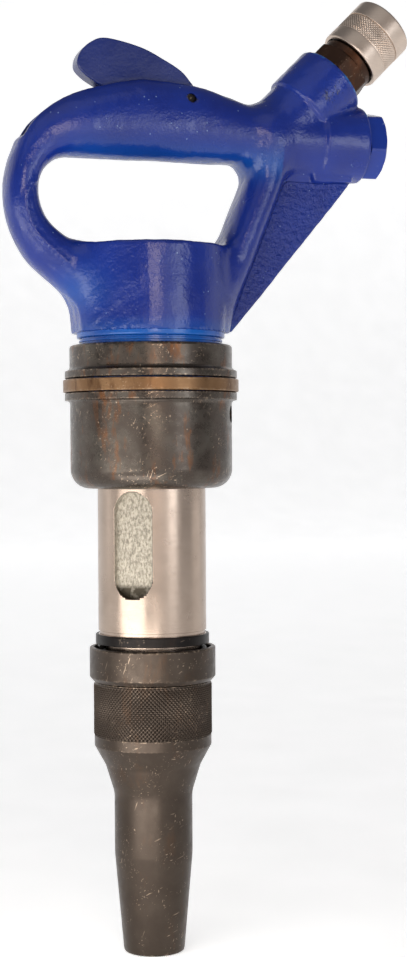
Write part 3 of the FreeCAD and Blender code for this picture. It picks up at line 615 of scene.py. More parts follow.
# ---- handle: distance fields, in mm
def smooth_union(first, second, blend):
    """Union of two fields with a fillet of about blend."""
    share = np.clip(0.5 + 0.5 * (second - first) / blend, 0.0, 1.0)
    return second + (first - second) * share - blend * share * (1.0 - share)


def smooth_cut(field, tool, blend):
    """Field with tool cut out of it and the new edge rounded."""
    return -smooth_union(-field, tool, blend)


def smooth_step(value, low, high):
    """0 below low, 1 above high, and a smooth rise between them."""
    share = np.clip((value - low) / (high - low), 0.0, 1.0)
    return share * share * (3.0 - 2.0 * share)


def smooth_path(points, steps=8):
    """Points along a smooth curve through the given (x, z) points."""
    points = np.array(points, float)
    ends = np.concatenate([[2 * points[0] - points[1]], points, [2 * points[-1] - points[-2]]])
    path = []
    for a, b, c, d in zip(ends, ends[1:], ends[2:], ends[3:]):
        for t in np.arange(steps) / steps:
            path.append(0.5 * (2 * b + (c - a) * t + (2 * a - 5 * b + 4 * c - d) * t ** 2
                               + (3 * b - a - 3 * c + d) * t ** 3))
    path.append(points[-1])
    return np.array(path)


def outline_distance(x, z, corners):
    """Signed distance in the XZ plane to a closed outline, negative inside."""
    best = np.full(np.broadcast(x, z).shape, np.inf)
    inside = np.zeros(best.shape, bool)
    for (x0, z0), (x1, z1) in zip(corners, np.roll(corners, -1, axis=0)):
        ex, ez = x1 - x0, z1 - z0
        if ex == 0.0 and ez == 0.0:
            continue
        along = np.clip(((x - x0) * ex + (z - z0) * ez) / (ex * ex + ez * ez), 0.0, 1.0)
        best = np.minimum(best, (x - x0 - along * ex) ** 2 + (z - z0 - along * ez) ** 2)
        crosses = (z0 > z) != (z1 > z)
        if ez != 0.0:
            inside ^= crosses & (x < ex * (z - z0) / ez + x0)
    return np.where(inside, -1.0, 1.0) * np.sqrt(best)


def rounded_slab(flat_distance, y, half_thickness, edge_round):
    """A plate from its outline's distance, with rounded edges."""
    across = flat_distance + edge_round
    through = np.abs(y) - half_thickness + edge_round
    outside = np.sqrt(np.maximum(across, 0.0) ** 2 + np.maximum(through, 0.0) ** 2)
    return outside + np.minimum(np.maximum(across, through), 0.0) - edge_round


def rounded_rod(distance_from_axis, along, radius, low, high, edge_round):
    """A cylinder from the distance to its axis and the position along it."""
    across = distance_from_axis - radius + edge_round
    through = np.maximum(low - along, along - high) + edge_round
    outside = np.sqrt(np.maximum(across, 0.0) ** 2 + np.maximum(through, 0.0) ** 2)
    return outside + np.minimum(np.maximum(across, through), 0.0) - edge_round


# Outlines in the mid-plane, as (x, z): the D's outside, the hand opening, the web, the pad that
# joins the web to the chest, and the lever's slot.
FRAME_OUTER = np.concatenate([
    smooth_path([
        (-35.1, 285.5), (-37.3, 297.5), (-45.5, 306.6), (-58.6, 318.3), (-66.6, 334.0),
        (-68.7, 350.0), (-65.3, 366.0), (-55.9, 382.7), (-37.4, 394.7), (-10.2, 402.1),
        (2.1, 402.5), (21.6, 400.8), (35.4, 396.6), (46.5, 393.4), (62.0, 392.0),
    ]),
    [(66.5, 378.0), (66.0, 362.0), (35.6, 288.0), (35.1, 285.5)],
])
OPENING = rounded([
    (-53.3, 365.4, 15.0), (-53.3, 339.5, 21.0), (-37.5, 325.3, 24.0), (32.5, 325.3, 6.0),
    (48.9, 365.4, 6.5),
], 10)
WEB = np.array([(34.0, 288.0), (38.3, 286.6), (97.8, 357.1), (97.8, 370.0), (52.0, 370.0)])
PAD = np.array([(79.0, 358.5), (98.4, 358.5), (98.4, 368.0), (79.0, 368.0)])
SLOT = np.array([(-80.0, 372.0), (9.0, 380.0), (9.0, 371.5), (27.0, 371.5), (27.0, 412.0),
                 (-80.0, 412.0)])
SLOT_HALF_WIDTH = 5.2
SLOT_BLEND = 2.6
WEB_HALF_WIDTH = 4.4
WEB_BLEND = 2.5
PAD_HALF_WIDTH = 8.2
PAD_ROUND = 1.6
DRUM_BLEND = 9.0
CHEST_BLEND = 6.0
PIN_HOLE_R = 2.02
SECTION_POWER = 2.35

# Round parts of the casting, each with radius, start, end and end rounding. The valve chest runs
# along x and the inlet boss along its slanting axis, and both end in a wider machined band.
CHEST = (17.0, 52.0, 88.0, 4.0)
CHEST_BAND = (18.0, 82.0, 104.2, 0.9)
BOSS = (16.9, -6.0, 30.0, 3.0)
BOSS_BAND = (18.2, 20.0, 42.7, 1.0)
CHEST_END_X = CHEST_BAND[2]
BOSS_RIM = BOSS_BAND[2]

# Bores with radius, start and end on the same two axes, and the air passage's two drillings.
VALVE_BORES = [(5.05, 20.0, 45.0), (8.0, 44.0, 59.0), (10.5, 58.0, 89.0), (12.0, 88.0, 110.0)]
INLET_BORES = [(6.5, 12.0, 25.0), (10.4, 24.0, 46.0)]
PASSAGE = [(54.0, VALVE_AXIS_Z), (49.5, 341.0), (22.5, SOCKET_FLOOR_Z - 3.0)]
PASSAGE_R = 4.0


def frame_half_depth(x):
    """Half the D's depth in Y: slim at the left arm, deeper at the grip and the right arm."""
    return 11.3 + 3.2 * smooth_step(x, -60.0, -30.0) + 1.2 * smooth_step(x, 20.0, 46.0)


def frame_field(x, y, inner, outer):
    """The D as a band between two outlines, with an oval section all the way round."""
    width = np.maximum((inner + outer) / 2.0, 1.0)
    depth = frame_half_depth(x)
    across = (np.abs(inner - outer) / (2.0 * width)) ** SECTION_POWER
    through = (np.abs(y) / depth) ** SECTION_POWER
    total = np.maximum(across + through, 1e-9)
    scale = (across * width + through * depth) / total
    return (total ** (1.0 / SECTION_POWER) - 1.0) * scale


def inlet_position(x, z):
    """Position along the inlet axis, and offset across it in the mid-plane."""
    dx, dz = x - INLET_ORIGIN[0], z - INLET_ORIGIN[2]
    c, s = math.cos(INLET_ANGLE), math.sin(INLET_ANGLE)
    return dx * s + dz * c, dx * c - dz * s


def grip_and_drum(x, y, z, from_opening, from_barrel_axis):
    """The D blended into the drum round the socket, and kept within the outline seen in front."""
    from_outline = outline_distance(x, z, FRAME_OUTER)
    grip = frame_field(x, y, from_opening, -from_outline)
    drum = rounded_rod(from_barrel_axis, z, DRUM_R, DRUM_LOW_Z - 20.0, DRUM_TOP_Z, 1.2)
    profile = np.minimum(from_outline, np.maximum(np.abs(x) - DRUM_R, z - DRUM_TOP_Z))
    return np.maximum(smooth_union(grip, drum, DRUM_BLEND), profile)


def add_web(body, x, y, z):
    """Adds the thin web under the chest and the pad at its top."""
    web = rounded_slab(outline_distance(x, z, WEB), y, WEB_HALF_WIDTH, 1.0)
    body = smooth_union(body, web, WEB_BLEND)
    pad = rounded_slab(outline_distance(x, z, PAD), y, PAD_HALF_WIDTH, PAD_ROUND)
    return smooth_union(body, pad, PAD_ROUND)


def add_chest_and_boss(body, x, along, from_valve_axis, from_inlet_axis):
    """Adds the valve chest and the inlet boss with their machined bands."""
    chest = rounded_rod(from_valve_axis, x, *CHEST)
    boss = rounded_rod(from_inlet_axis, along, *BOSS)
    body = smooth_union(body, smooth_union(chest, boss, 1.6), CHEST_BLEND)
    chest_band = rounded_rod(from_valve_axis, x, *CHEST_BAND)
    boss_band = rounded_rod(from_inlet_axis, along, *BOSS_BAND)
    return smooth_union(body, smooth_union(chest_band, boss_band, 1.2), 1.0)


def cut_lever_slot(body, x, y, z):
    """Cuts the lever's slot and the pin's cross hole."""
    slot = rounded_slab(outline_distance(x, z, SLOT), y, SLOT_HALF_WIDTH, 0.5)
    body = smooth_cut(body, slot, SLOT_BLEND)
    pin_hole = np.sqrt((x - PIN_X) ** 2 + (z - PIN_Z) ** 2) - PIN_HOLE_R
    return smooth_cut(body, pin_hole, 0.5)


def cut_bores(body, bores, from_axis, along):
    """Cuts bores that share one axis."""
    for radius, low, high in bores:
        bore = np.maximum(from_axis - radius, np.maximum(low - along, along - high))
        body = np.maximum(body, -bore)
    return body


def cut_passage(body, x, y, z):
    """Cuts the drillings that lead the air from the chest to the socket."""
    for (x0, z0), (x1, z1) in zip(PASSAGE, PASSAGE[1:]):
        ex, ez = x1 - x0, z1 - z0
        share = np.clip(((x - x0) * ex + (z - z0) * ez) / (ex * ex + ez * ez), 0.0, 1.0)
        leg = np.sqrt((x - x0 - share * ex) ** 2 + (z - z0 - share * ez) ** 2 + y * y) - PASSAGE_R
        body = np.maximum(body, -leg)
    return body


def handle_field(x, y, z):
    """Distance to the handle's surface, negative inside."""
    from_opening = outline_distance(x, z, OPENING)
    from_barrel_axis = np.sqrt(x * x + y * y)
    from_valve_axis = np.sqrt((z - VALVE_AXIS_Z) ** 2 + y * y)
    along, offset = inlet_position(x, z)
    from_inlet_axis = np.sqrt(offset ** 2 + y * y)

    body = grip_and_drum(x, y, z, from_opening, from_barrel_axis)
    body = add_web(body, x, y, z)
    body = add_chest_and_boss(body, x, along, from_valve_axis, from_inlet_axis)
    body = np.maximum(body, DRUM_LOW_Z - z)
    body = np.maximum(body, -from_opening)

    body = cut_lever_slot(body, x, y, z)
    socket = np.maximum(from_barrel_axis - SOCKET_R, z - SOCKET_FLOOR_Z)
    body = np.maximum(body, -socket)
    body = cut_bores(body, VALVE_BORES, from_valve_axis, x)
    body = cut_bores(body, INLET_BORES, from_inlet_axis, along)
    return cut_passage(body, x, y, z)


CELL_CORNERS = [(i, j, k) for i in (0, 1) for j in (0, 1) for k in (0, 1)]


def surface_net(field, low, high, step):
    """Points and quads of the surface where field is 0, one point in each cell it crosses."""
    axes = [np.arange(a, b + step, step) for a, b in zip(low, high)]
    values = field(axes[0][:, None, None], axes[1][None, :, None], axes[2][None, None, :])
    values = np.broadcast_to(values, [len(a) for a in axes])
    solid = values < 0.0
    shape = np.array(values.shape) - 1
    count = np.zeros(shape, np.int8)
    for i, j, k in CELL_CORNERS:
        count += solid[i:i + shape[0], j:j + shape[1], k:k + shape[2]]
    cells = np.argwhere((count > 0) & (count < 8))
    number = np.full(shape, -1, np.int32)
    number[tuple(cells.T)] = np.arange(len(cells))

    corner_value = {c: values[tuple((cells + c).T)] for c in CELL_CORNERS}
    total = np.zeros((len(cells), 3))
    hits = np.zeros(len(cells))
    for first in CELL_CORNERS:
        for axis in range(3):
            if first[axis]:
                continue
            second = tuple(v + (n == axis) for n, v in enumerate(first))
            a, b = corner_value[first], corner_value[second]
            crossed = (a < 0.0) != (b < 0.0)
            share = a[crossed] / (a[crossed] - b[crossed])
            point = np.tile(np.array(first, float), (len(share), 1))
            point[:, axis] += share
            total[crossed] += point
            hits[crossed] += 1
    points = (cells + total / hits[:, None]) * step + np.array([a[0] for a in axes])

    quads = []
    for axis in range(3):
        u, v = [n for n in range(3) if n != axis]
        ahead = [slice(None)] * 3
        behind = [slice(None)] * 3
        ahead[axis], behind[axis] = slice(1, None), slice(None, -1)
        start, end = solid[tuple(behind)], solid[tuple(ahead)]
        edges = np.argwhere(start != end)
        edges = edges[(edges[:, u] > 0) & (edges[:, v] > 0)]
        edges = edges[(edges[:, u] < shape[u]) & (edges[:, v] < shape[v])]
        around = []
        for du, dv in ((-1, -1), (0, -1), (0, 0), (-1, 0)):
            cell = edges.copy()
            cell[:, u] += du
            cell[:, v] += dv
            around.append(number[tuple(cell.T)])
        quad = np.stack(around, axis=-1)
        flip = start[tuple(edges.T)] != (axis == 1)
        quad[flip] = quad[flip][:, ::-1]
        quads.append(quad)
    return points, np.concatenate(quads)


def field_gradient(field, points, step=0.05):
    """Slope of the field at each point."""
    gradient = np.empty_like(points)
    for axis in range(3):
        shift = np.zeros(3)
        shift[axis] = step
        gradient[:, axis] = field(*(points + shift).T) - field(*(points - shift).T)
    return gradient / (2.0 * step)


def settle_on(field, points, rounds=3, reach=0.45):
    """Moves points onto the exact surface, each by no more than reach."""
    start = points.copy()
    for _ in range(rounds):
        value = field(*points.T)
        gradient = field_gradient(field, points)
        slope = np.maximum((gradient ** 2).sum(axis=1), 0.05)
        points = points - gradient * (value / slope)[:, None]
        move = points - start
        length = np.maximum(np.linalg.norm(move, axis=1), 1e-9)
        points = start + move * np.minimum(1.0, reach / length)[:, None]
    return points


def curvature(field, points, reach=1.0):
    """How convex the surface is at each point, per mm."""
    total = -6.0 * field(*points.T)
    for axis in range(3):
        for side in (-reach, reach):
            shift = np.zeros(3)
            shift[axis] = side
            total += field(*(points + shift).T)
    return total / reach ** 2


def ripple(points, wavelength, seed, waves=7):
    """Slow unevenness between about -1 and 1, from a few seeded plane waves."""
    random = np.random.default_rng(seed)
    total = np.zeros(len(points))
    for _ in range(waves):
        direction = random.normal(size=3)
        direction /= np.linalg.norm(direction)
        length = wavelength * random.uniform(0.7, 1.5)
        total += np.sin(points @ direction * 2.0 * math.pi / length + random.uniform(0, 6.28))
    return total / math.sqrt(waves)


# The parting seam that shows on the D's left arm, as (x, z).
SEAM = smooth_path([(-46.0, 359.0), (-56.5, 352.5), (-60.9, 344.0), (-58.5, 333.8),
                    (-53.9, 326.7), (-42.7, 316.1)], 6)
SEAM_HEIGHT = 0.85
SEAM_WIDTH = 0.9
CAST_STEP = 0.95
CAST_MARGIN = 3.0


def web_roughness(x, y, z):
    """1 on the web's two rough flat faces, 0 elsewhere."""
    on_web = rounded_slab(outline_distance(x, z, WEB), y, WEB_HALF_WIDTH + 0.2, 0.5)
    on_face = np.abs(np.abs(y) - WEB_HALF_WIDTH) < 0.5
    return smooth_step(-np.abs(on_web), -0.6, -0.2) * on_face


def cast_relief(points, normal, rough):
    """How far the casting stands off its ideal surface, with machined faces left flat."""
    x, y, z = points.T
    along, _ = inlet_position(x, z)
    machined = (z < DRUM_LOW_Z + 1.0) | (x > CHEST_END_X - 2.0) | (along > BOSS_RIM - 1.7)
    in_socket = (np.sqrt(x * x + y * y) < SOCKET_R + 0.5) & (z < SOCKET_FLOOR_Z + 0.5)
    relief = 0.10 * ripple(points, 16.0, 3) + 0.05 * ripple(points, 6.0, 5)
    relief += rough * 0.12 * ripple(points, 3.2, 7)
    seam_gap = np.sqrt(np.min([(x - sx) ** 2 + (z - sz) ** 2 for sx, sz in SEAM], axis=0))
    seam_height = SEAM_HEIGHT + 0.2 * ripple(points, 5.0, 11)
    on_side = np.abs(normal[:, 1]) > 0.55
    relief += np.where(on_side, seam_height * np.exp(-(seam_gap / SEAM_WIDTH) ** 2), 0.0)
    return np.where(machined | in_socket, 0.0, relief)


def pale_paint_and_highlight(x, z):
    """Where the paint is coloured lighter: a painted highlight under the grip and at the saddle, and lighter
    towards the drum's foot.
    """
    under_grip = np.exp(-((z - 364.0) / 7.0) ** 2) * smooth_step(x, -50.0, -30.0) * (x < 60.0)
    saddle = np.exp(-(np.hypot(x + 38.0, z - 303.0) / 10.0) ** 2)
    drum_foot = smooth_step(-z, -293.0, -286.0)
    return np.clip(0.55 * under_grip + 0.5 * saddle + 0.35 * drum_foot, 0.0, 0.85)


def slot_painted_shade(x, y, z):
    """Painted shade inside the lever's slot and the pin's hole."""
    in_slot = (np.abs(y) < SLOT_HALF_WIDTH + 0.4) & (outline_distance(x, z, SLOT) < 0.6)
    in_pin_hole = np.hypot(x - PIN_X, z - PIN_Z) < PIN_HOLE_R + 0.18
    return np.where(in_slot, 0.8, np.where(in_pin_hole, 0.9, 0.0))


def build_handle():
    """The painted casting, with the values that its paint reads at every point."""
    low = HANDLE_LOW - CAST_MARGIN
    high = HANDLE_HIGH + CAST_MARGIN
    low[2] = DRUM_LOW_Z - CAST_MARGIN
    points, quads = surface_net(handle_field, low, high, CAST_STEP)
    points = settle_on(handle_field, points)
    normal = field_gradient(handle_field, points)
    normal /= np.maximum(np.linalg.norm(normal, axis=1), 1e-9)[:, None]
    x, y, z = points.T
    along, offset = inlet_position(x, z)
    rough = web_roughness(x, y, z)
    rim_edge = np.clip(curvature(handle_field, points) * 1.2 - 0.1, 0.0, 1.0)
    boss_scuff = np.exp(-((along - 32.0) / 6.0) ** 2 - ((offset - 3.0) / 5.0) ** 2)
    surface = points + normal * cast_relief(points, normal, rough)[:, None]
    obj = make_object("handle_casting", surface, quads.tolist(), PAINT, "root",
                      ["handle"])
    add_attribute(obj.data, "edge", np.where(along > BOSS_RIM - 4.0, rim_edge, 0.0))
    add_attribute(obj.data, "rough", rough)
    add_attribute(obj.data, "pale_paint_and_highlight", pale_paint_and_highlight(x, z))
    add_attribute(obj.data, "scuff", boss_scuff * (x > INLET_ORIGIN[0]))
    # The painted shade of the slot and the pin's hole.
    add_attribute(obj.data, "painted_shade", slot_painted_shade(x, y, z))
    smooth_shade(obj, 50.0, weighted=False)


def build_neck():
    """The neck above the lock nut, with its collar and two thread grooves, in the lighter painted-highlight blue.
    """
    low, nut_top, collar_z = HANDLE_LOW[2], ring_size("lock_nut")[1], 283.3
    collar_r, overlap, groove_depth = 34.2, 0.2, 0.8
    rows = [(SOCKET_R, low), (NECK_R - 0.6, low), (NECK_R, low + 0.6)]
    for groove in (nut_top + 0.6, nut_top + 2.3):
        rows += [(NECK_R, groove - 0.1), (NECK_R - groove_depth, groove + 0.1),
                 (NECK_R - groove_depth, groove + 0.6), (NECK_R, groove + 0.8)]
    rows += [(collar_r - 0.2, collar_z), (collar_r, collar_z + 0.3),
             (collar_r, DRUM_LOW_Z + overlap), (SOCKET_R, DRUM_LOW_Z + overlap)]
    lathe("handle_neck_thread", rows, LIT_NECK_PAINT, "root", sharp_angle=45.0)


# ---- lever
def lever_bore_cutter(half):
    """A cylinder along y for the pin's bore, a little longer than the lever is thick."""
    radius, spare = 2.05, 2.0
    points, faces = cylinder(radius, -half - spare, half + spare)
    points = points[:, [0, 2, 1]] + np.array([PIN_X, 0.0, PIN_Z])
    cutter = make_object("lever_bore_cutter", points, faces, LEVER_PAINT, "lever")
    clean_up(cutter)
    return cutter


def build_lever():
    """The leaf on top of the grip, with its round foot against the throttle pusher."""
    foot_x, foot_r = 17.4, 3.0
    outline = np.concatenate([
        smooth_path([(19.2, 401.5), (14.2, 406.8), (5.4, 411.8), (-5.5, 416.6), (-21.4, 419.7),
                     (-28.8, 417.4), (-34.0, 412.2), (-35.2, 406.4), (-31.6, 402.2),
                     (-26.4, 399.0)], 6),
        [(-13.0, 392.0), (9.0, 384.0), (foot_x - foot_r, 381.0)],
        [(foot_x - foot_r * math.cos(a), VALVE_AXIS_Z - foot_r * math.sin(a))
         for a in np.linspace(0.0, math.pi, 13)],
        [(21.5, 387.0), (23.6, 391.5), (23.4, 396.0)],
    ])
    half = (LEVER_HIGH[1] - LEVER_LOW[1]) / 2.0
    points = [(x, side * half, z) for side in (-1.0, 1.0) for x, z in outline]
    obj = make_object("lever_leaf", points, prism_faces(len(outline)), LEVER_PAINT,
                      "lever", ["throttle_lever"])
    clean_up(obj)
    cut_out(obj, lever_bore_cutter(half))
    bevel(obj, 0.7, 3, 40.0)
    smooth_shade(obj, 40.0)


# ---- turned pieces
def build_retainer():
    """The nose: mouth, tapered snout, shoulder and knurled skirt."""
    low, high, _ = ring_size("nose_retainer")
    knurl_low, knurl_high, knurl_r = 100.2, 124.6, 27.5
    mouth_r, tip_r, snout_r, shoulder_r = 10.2, 14.2, 18.05, 27.1
    skirt_r, core_r = 26.9, 26.3
    skirt_bore_r, bush_bore_r, skirt_floor, bush_floor = 22.3, 15.0, 99.7, 26.0
    outline = rounded([
        (tip_r - 0.3, low, 0.5), (tip_r, 1.6, 0.8), (snout_r, 45.3, 20.0), (snout_r, 73.5, 14.0),
        (22.0, 86.3, 0.0), (shoulder_r, 95.6, 0.8), (shoulder_r, knurl_low + 0.2, 0.0),
        (core_r, knurl_low + 0.2, 0.0), (core_r, knurl_high, 0.0), (skirt_r, knurl_high, 0.0),
        (skirt_r, high, 0.4), (skirt_bore_r, high, 0.3),
        (skirt_bore_r, skirt_floor, 0.0), (bush_bore_r, skirt_floor, 0.0),
        (bush_bore_r, bush_floor, 0.0), (mouth_r, bush_floor - 4.0, 0.4), (mouth_r, low, 0.8),
    ], 5)
    lathe("nose_snout", outline, NOSE_STEEL, "nose_retainer",
          ["nose_retainer"])
    knurl_band("nose_knurl", knurl_r, knurl_low, knurl_high, 96, 1.9, 0.7, NOSE_STEEL,
               "nose_retainer")


def build_lock_ring():
    """The smooth flange ring above the knurl, open below for its spring."""
    low, high, outer = ring_size("retainer_lock_ring")
    bore_r, spring_bore_r, spring_floor = 22.3, 27.05, 128.5
    outline = rounded([
        (bore_r, low, 0.3), (27.4, low, 0.4), (outer, low + 2.0, 0.8), (outer, high, 0.9),
        (spring_bore_r, high, 0.4), (spring_bore_r, spring_floor, 0.6),
        (bore_r, spring_floor, 0.3),
    ])
    lathe("lock_ring_turned", outline, NOSE_STEEL, "lock_ring",
          ["retainer_lock_ring"])


def build_seat_ring():
    """The thin dark ring on the barrel that the lock ring's spring pushes against."""
    low, high, outer = ring_size("spring_seat_ring")
    bore_r, step_z = 22.1, 144.1
    outline = rounded([
        (bore_r, low, 0.1), (outer, low, 0.3), (outer, high, 0.45), (BARREL_R + 0.1, high, 0.1),
        (BARREL_R + 0.1, step_z, 0.0), (bore_r, step_z, 0.0),
    ])
    lathe("seat_ring_turned", outline, DARK_RING, "root", ["spring_seat_ring"])


def turned_about_z(points, angle):
    """Points turned about the barrel's axis."""
    x, y, z = np.asarray(points, float).T
    c, s = math.cos(angle), math.sin(angle)
    return np.stack([x * c - y * s, x * s + y * c, z], axis=-1)


def pocket_cutter(angle):
    """A long round-ended cutter for the pocket in the barrel's side."""
    half, high, floor, reach = 9.2, 212.9, 20.8, 4.0
    ring = [(half * math.cos(a), high - half + half * math.sin(a))
            for a in np.linspace(0.0, math.pi, 25)]
    ring += [(half * math.cos(a), POCKET_LOW_Z + half + half * math.sin(a))
             for a in np.linspace(math.pi, 2.0 * math.pi, 25)]
    points = [(r, u, z) for r in (floor, BARREL_R + reach) for u, z in ring]
    cutter = make_object("pocket_cutter", turned_about_z(points, angle), prism_faces(len(ring)),
                         MILLED, "root")
    clean_up(cutter)
    return cutter


def build_barrel():
    """The bright barrel: foot, seat groove, flange, neck and piston bore, with two pockets."""
    foot, top, _ = ring_size("barrel")
    foot_r, foot_bore_r, piston_bore_r = 22.0, 20.05, 14.28
    flange_r, neck_r, head_r, seal_groove_r = 29.0, 24.0, 29.3, 27.3
    step_z, flange_low, flange_high, head_low = 144.2, 225.0, 233.0, 275.0
    outline = rounded([
        (foot_bore_r, foot, 0.3), (foot_r, foot, 0.4), (foot_r, step_z, 0.0),
        (BARREL_R, step_z, 0.2), (BARREL_R, 147.2, 0.1), (24.3, 147.2, 0.0), (24.3, 148.8, 0.0),
        (BARREL_R, 148.8, 0.2), (BARREL_R, flange_low, 0.0), (flange_r, flange_low, 0.3),
        (flange_r, flange_high, 0.3), (neck_r, flange_high, 0.3), (neck_r, head_low, 0.3),
        (head_r, head_low, 0.2), (head_r, 277.5, 0.0), (seal_groove_r, 277.5, 0.0),
        (seal_groove_r, 280.1, 0.0), (head_r, 280.1, 0.0), (head_r, top, 0.2),
        (piston_bore_r, top, 0.2), (piston_bore_r, 108.0, 0.0), (foot_bore_r, 108.0, 0.0),
    ], 4)
    obj = lathe("barrel_ground", outline, GROUND, "root", ["barrel"],
                segments=256)
    for side in OPPOSITE_SIDES:
        cut_out(obj, pocket_cutter(POCKET_ANGLE + side))
    smooth_shade(obj, 30.0)


def hole_cutter(radius, angle, z, start, reach):
    """A cylinder that points outwards from the barrel's axis, for a cross hole."""
    points, faces = cylinder(radius, start, start + reach)
    across, y, along = points.T
    points = turned_about_z(np.stack([along, y, z + across], axis=-1), angle)
    cutter = make_object("hole_cutter", points, faces, COLLAR_STEEL, "root")
    clean_up(cutter)
    return cutter


def build_clamp_nut():
    """The cup below the washer, with its flange and a small hole at each side."""
    low, high, flange = ring_size("barrel_clamp_nut")
    cup_r, mouth_r, flange_low, floor = 37.4, 25.2, 254.6, 225.0
    hole_r, hole_z, hole_start, hole_reach = 3.9, 248.0, 30.0, 12.0
    outline = rounded([
        (mouth_r, low, 0.4), (cup_r, low, 8.8), (cup_r, flange_low - 0.6, 2.0),
        (38.7, flange_low, 0.0), (flange, flange_low, 0.35), (flange, high, 0.35),
        (COLLAR_BORE_R, high, 0.3), (COLLAR_BORE_R, floor, 0.3), (mouth_r, floor, 0.3),
    ], 8)
    obj = lathe("clamp_nut_turned", outline, COLLAR_STEEL, "root",
                ["barrel_clamp_nut"])
    for side in OPPOSITE_SIDES:
        cut_out(obj, hole_cutter(hole_r, SIDE_HOLE_ANGLE + side, hole_z, hole_start, hole_reach))
    smooth_shade(obj, 32.0)


def build_washer():
    """The brown ring between the two dark collars."""
    low, high, outer = ring_size("lock_washer")
    outline = rounded([
        (COLLAR_BORE_R, low, 0.2), (outer, low, 0.5), (outer, high, 0.5),
        (COLLAR_BORE_R, high, 0.2),
    ])
    lathe("lock_washer_turned", outline, BRONZE, "root", ["lock_washer"])


def build_lock_nut():
    """The upper dark collar with its flange at the bottom."""
    low, high, flange = ring_size("lock_nut")
    nut_r, flange_top = 37.6, 268.1
    outline = rounded([
        (COLLAR_BORE_R, low, 0.2), (flange, low, 0.35), (flange, flange_top, 0.35),
        (38.9, flange_top + 0.3, 0.0), (nut_r, flange_top + 1.3, 1.6), (nut_r, high, 1.4),
        (COLLAR_BORE_R, high, 0.3),
    ])
    lathe("lock_nut_turned", outline, COLLAR_STEEL, "root", ["lock_nut"])


def build_plug():
    """Hexagon plug in the end of the valve chest, with its corners turned off."""
    shank_end, shoulder, end = 90.0, 105.0, PLUG_HIGH[0]
    shank_r, corner_r, chamfer, chamfer_height = 11.95, 18.5, 3.5, 2.4
    outline = rounded([
        (0.0, end, 0.0), (0.0, shank_end, 0.0), (shank_r, shank_end, 0.4),
        (shank_r, shoulder, 0.0), (corner_r, shoulder, 0.0),
    ], 4).tolist()
    outline += [(corner_r, shoulder + 0.4), (corner_r, end - chamfer_height)]
    outline += [(corner_r - chamfer * share, end - chamfer_height + chamfer_height * share)
                for share in (0.25, 0.5, 0.75, 1.0)]
    outline += [(12.9, end)]
    lathe("plug_hexagon", outline, PLUG_PAINT, "root", ["valve_plug"],
          place=along_valve_axis, radius_at=hexagonal(13.0, 29.5, math.radians(45.0), 0.35),
          sharp_angle=25.0)


def build_coupler_body():
    """The coupler's browned hexagon, with the thin tube that the sleeve slides on."""
    hexagon_top, top = 56.0, 81.0
    thread_r, tube_r, socket_r, check_bore_r, inlet_r = 10.3, 11.4, 6.05, 8.0, 5.0
    outline = [
        (thread_r, 25.0), (thread_r, BOSS_RIM), (13.4, BOSS_RIM), (14.2, BOSS_RIM + 0.3),
        (15.2, BOSS_RIM + 1.5), (15.6, BOSS_RIM + 2.2), (15.6, 51.0), (15.2, 51.4), (13.5, 52.7),
        (13.5, hexagon_top), (12.6, hexagon_top), (tube_r, hexagon_top), (tube_r, 79.0),
        (10.6, 79.0), (10.6, 80.0), (tube_r, 80.0), (11.0, top), (6.6, top),
        (socket_r, top - 0.7), (socket_r, 66.0), (8.4, 65.6), (8.4, 63.0), (socket_r, 63.0),
        (socket_r, 61.0), (5.2, 61.0), (5.2, 58.0), (check_bore_r, 58.0), (check_bore_r, 38.0),
        (inlet_r, 38.0), (inlet_r, 25.0),
    ]
    lathe("coupler_hexagon", outline, BROWN_STEEL, "root", ["coupler_body"],
          place=along_inlet_axis, radius_at=hexagonal(11.9, 27.0, math.radians(15.0), 0.3),
          sharp_angle=25.0)


def build_coupler_sleeve():
    """The coupler's sliding nickel sleeve with its knurled band."""
    low, high, outer = 56.8, 82.4, 15.5
    knurl_low, knurl_high, core_r = 64.2, 73.6, 14.7
    mouth_r, lock_r, spring_bore_r = 13.3, 11.7, 13.8
    outline = rounded([
        (spring_bore_r, low, 0.2), (15.1, low, 0.3), (outer, low + 0.7, 0.5),
        (outer, knurl_low, 0.2), (core_r, knurl_low, 0.0), (core_r, knurl_high, 0.0),
        (outer, knurl_high, 0.2), (outer, high, 1.1), (mouth_r, high, 0.6), (mouth_r, 73.8, 0.2),
        (lock_r, 73.8, 0.2), (lock_r, 70.6, 0.2), (spring_bore_r, 70.6, 0.2),
    ], 5)
    lathe("coupler_sleeve_turned", outline, NICKEL, "coupler_sleeve",
          ["coupler_sleeve"], place=along_inlet_axis)
    knurl_band("coupler_sleeve_knurl", outer, knurl_low + 0.05, knurl_high - 0.05, 64, 1.5, 0.45,
               NICKEL, "coupler_sleeve", place=along_inlet_axis)


# ---- springs
# Each spring has a node name, mean and wire radius, fixed and moving end along its axis,
# number of turns, the body that presses its moving end, and how it is laid in the frame.
SPRINGS = [
    ("lock_ring_spring", 24.4, 0.9, 142.6, 128.6, 3.5, "lock_ring", np.array),
    ("throttle_spring", 5.6, 0.8, 89.9, 66.1, 7.0, "poppet", along_valve_axis),
    ("coupler_spring", 12.6, 0.7, 56.05, 70.5, 5.0, "coupler_sleeve", along_inlet_axis),
    ("coupler_check_spring", 5.6, 0.6, 38.1, 51.9, 5.0, "coupler_check", along_inlet_axis),
]


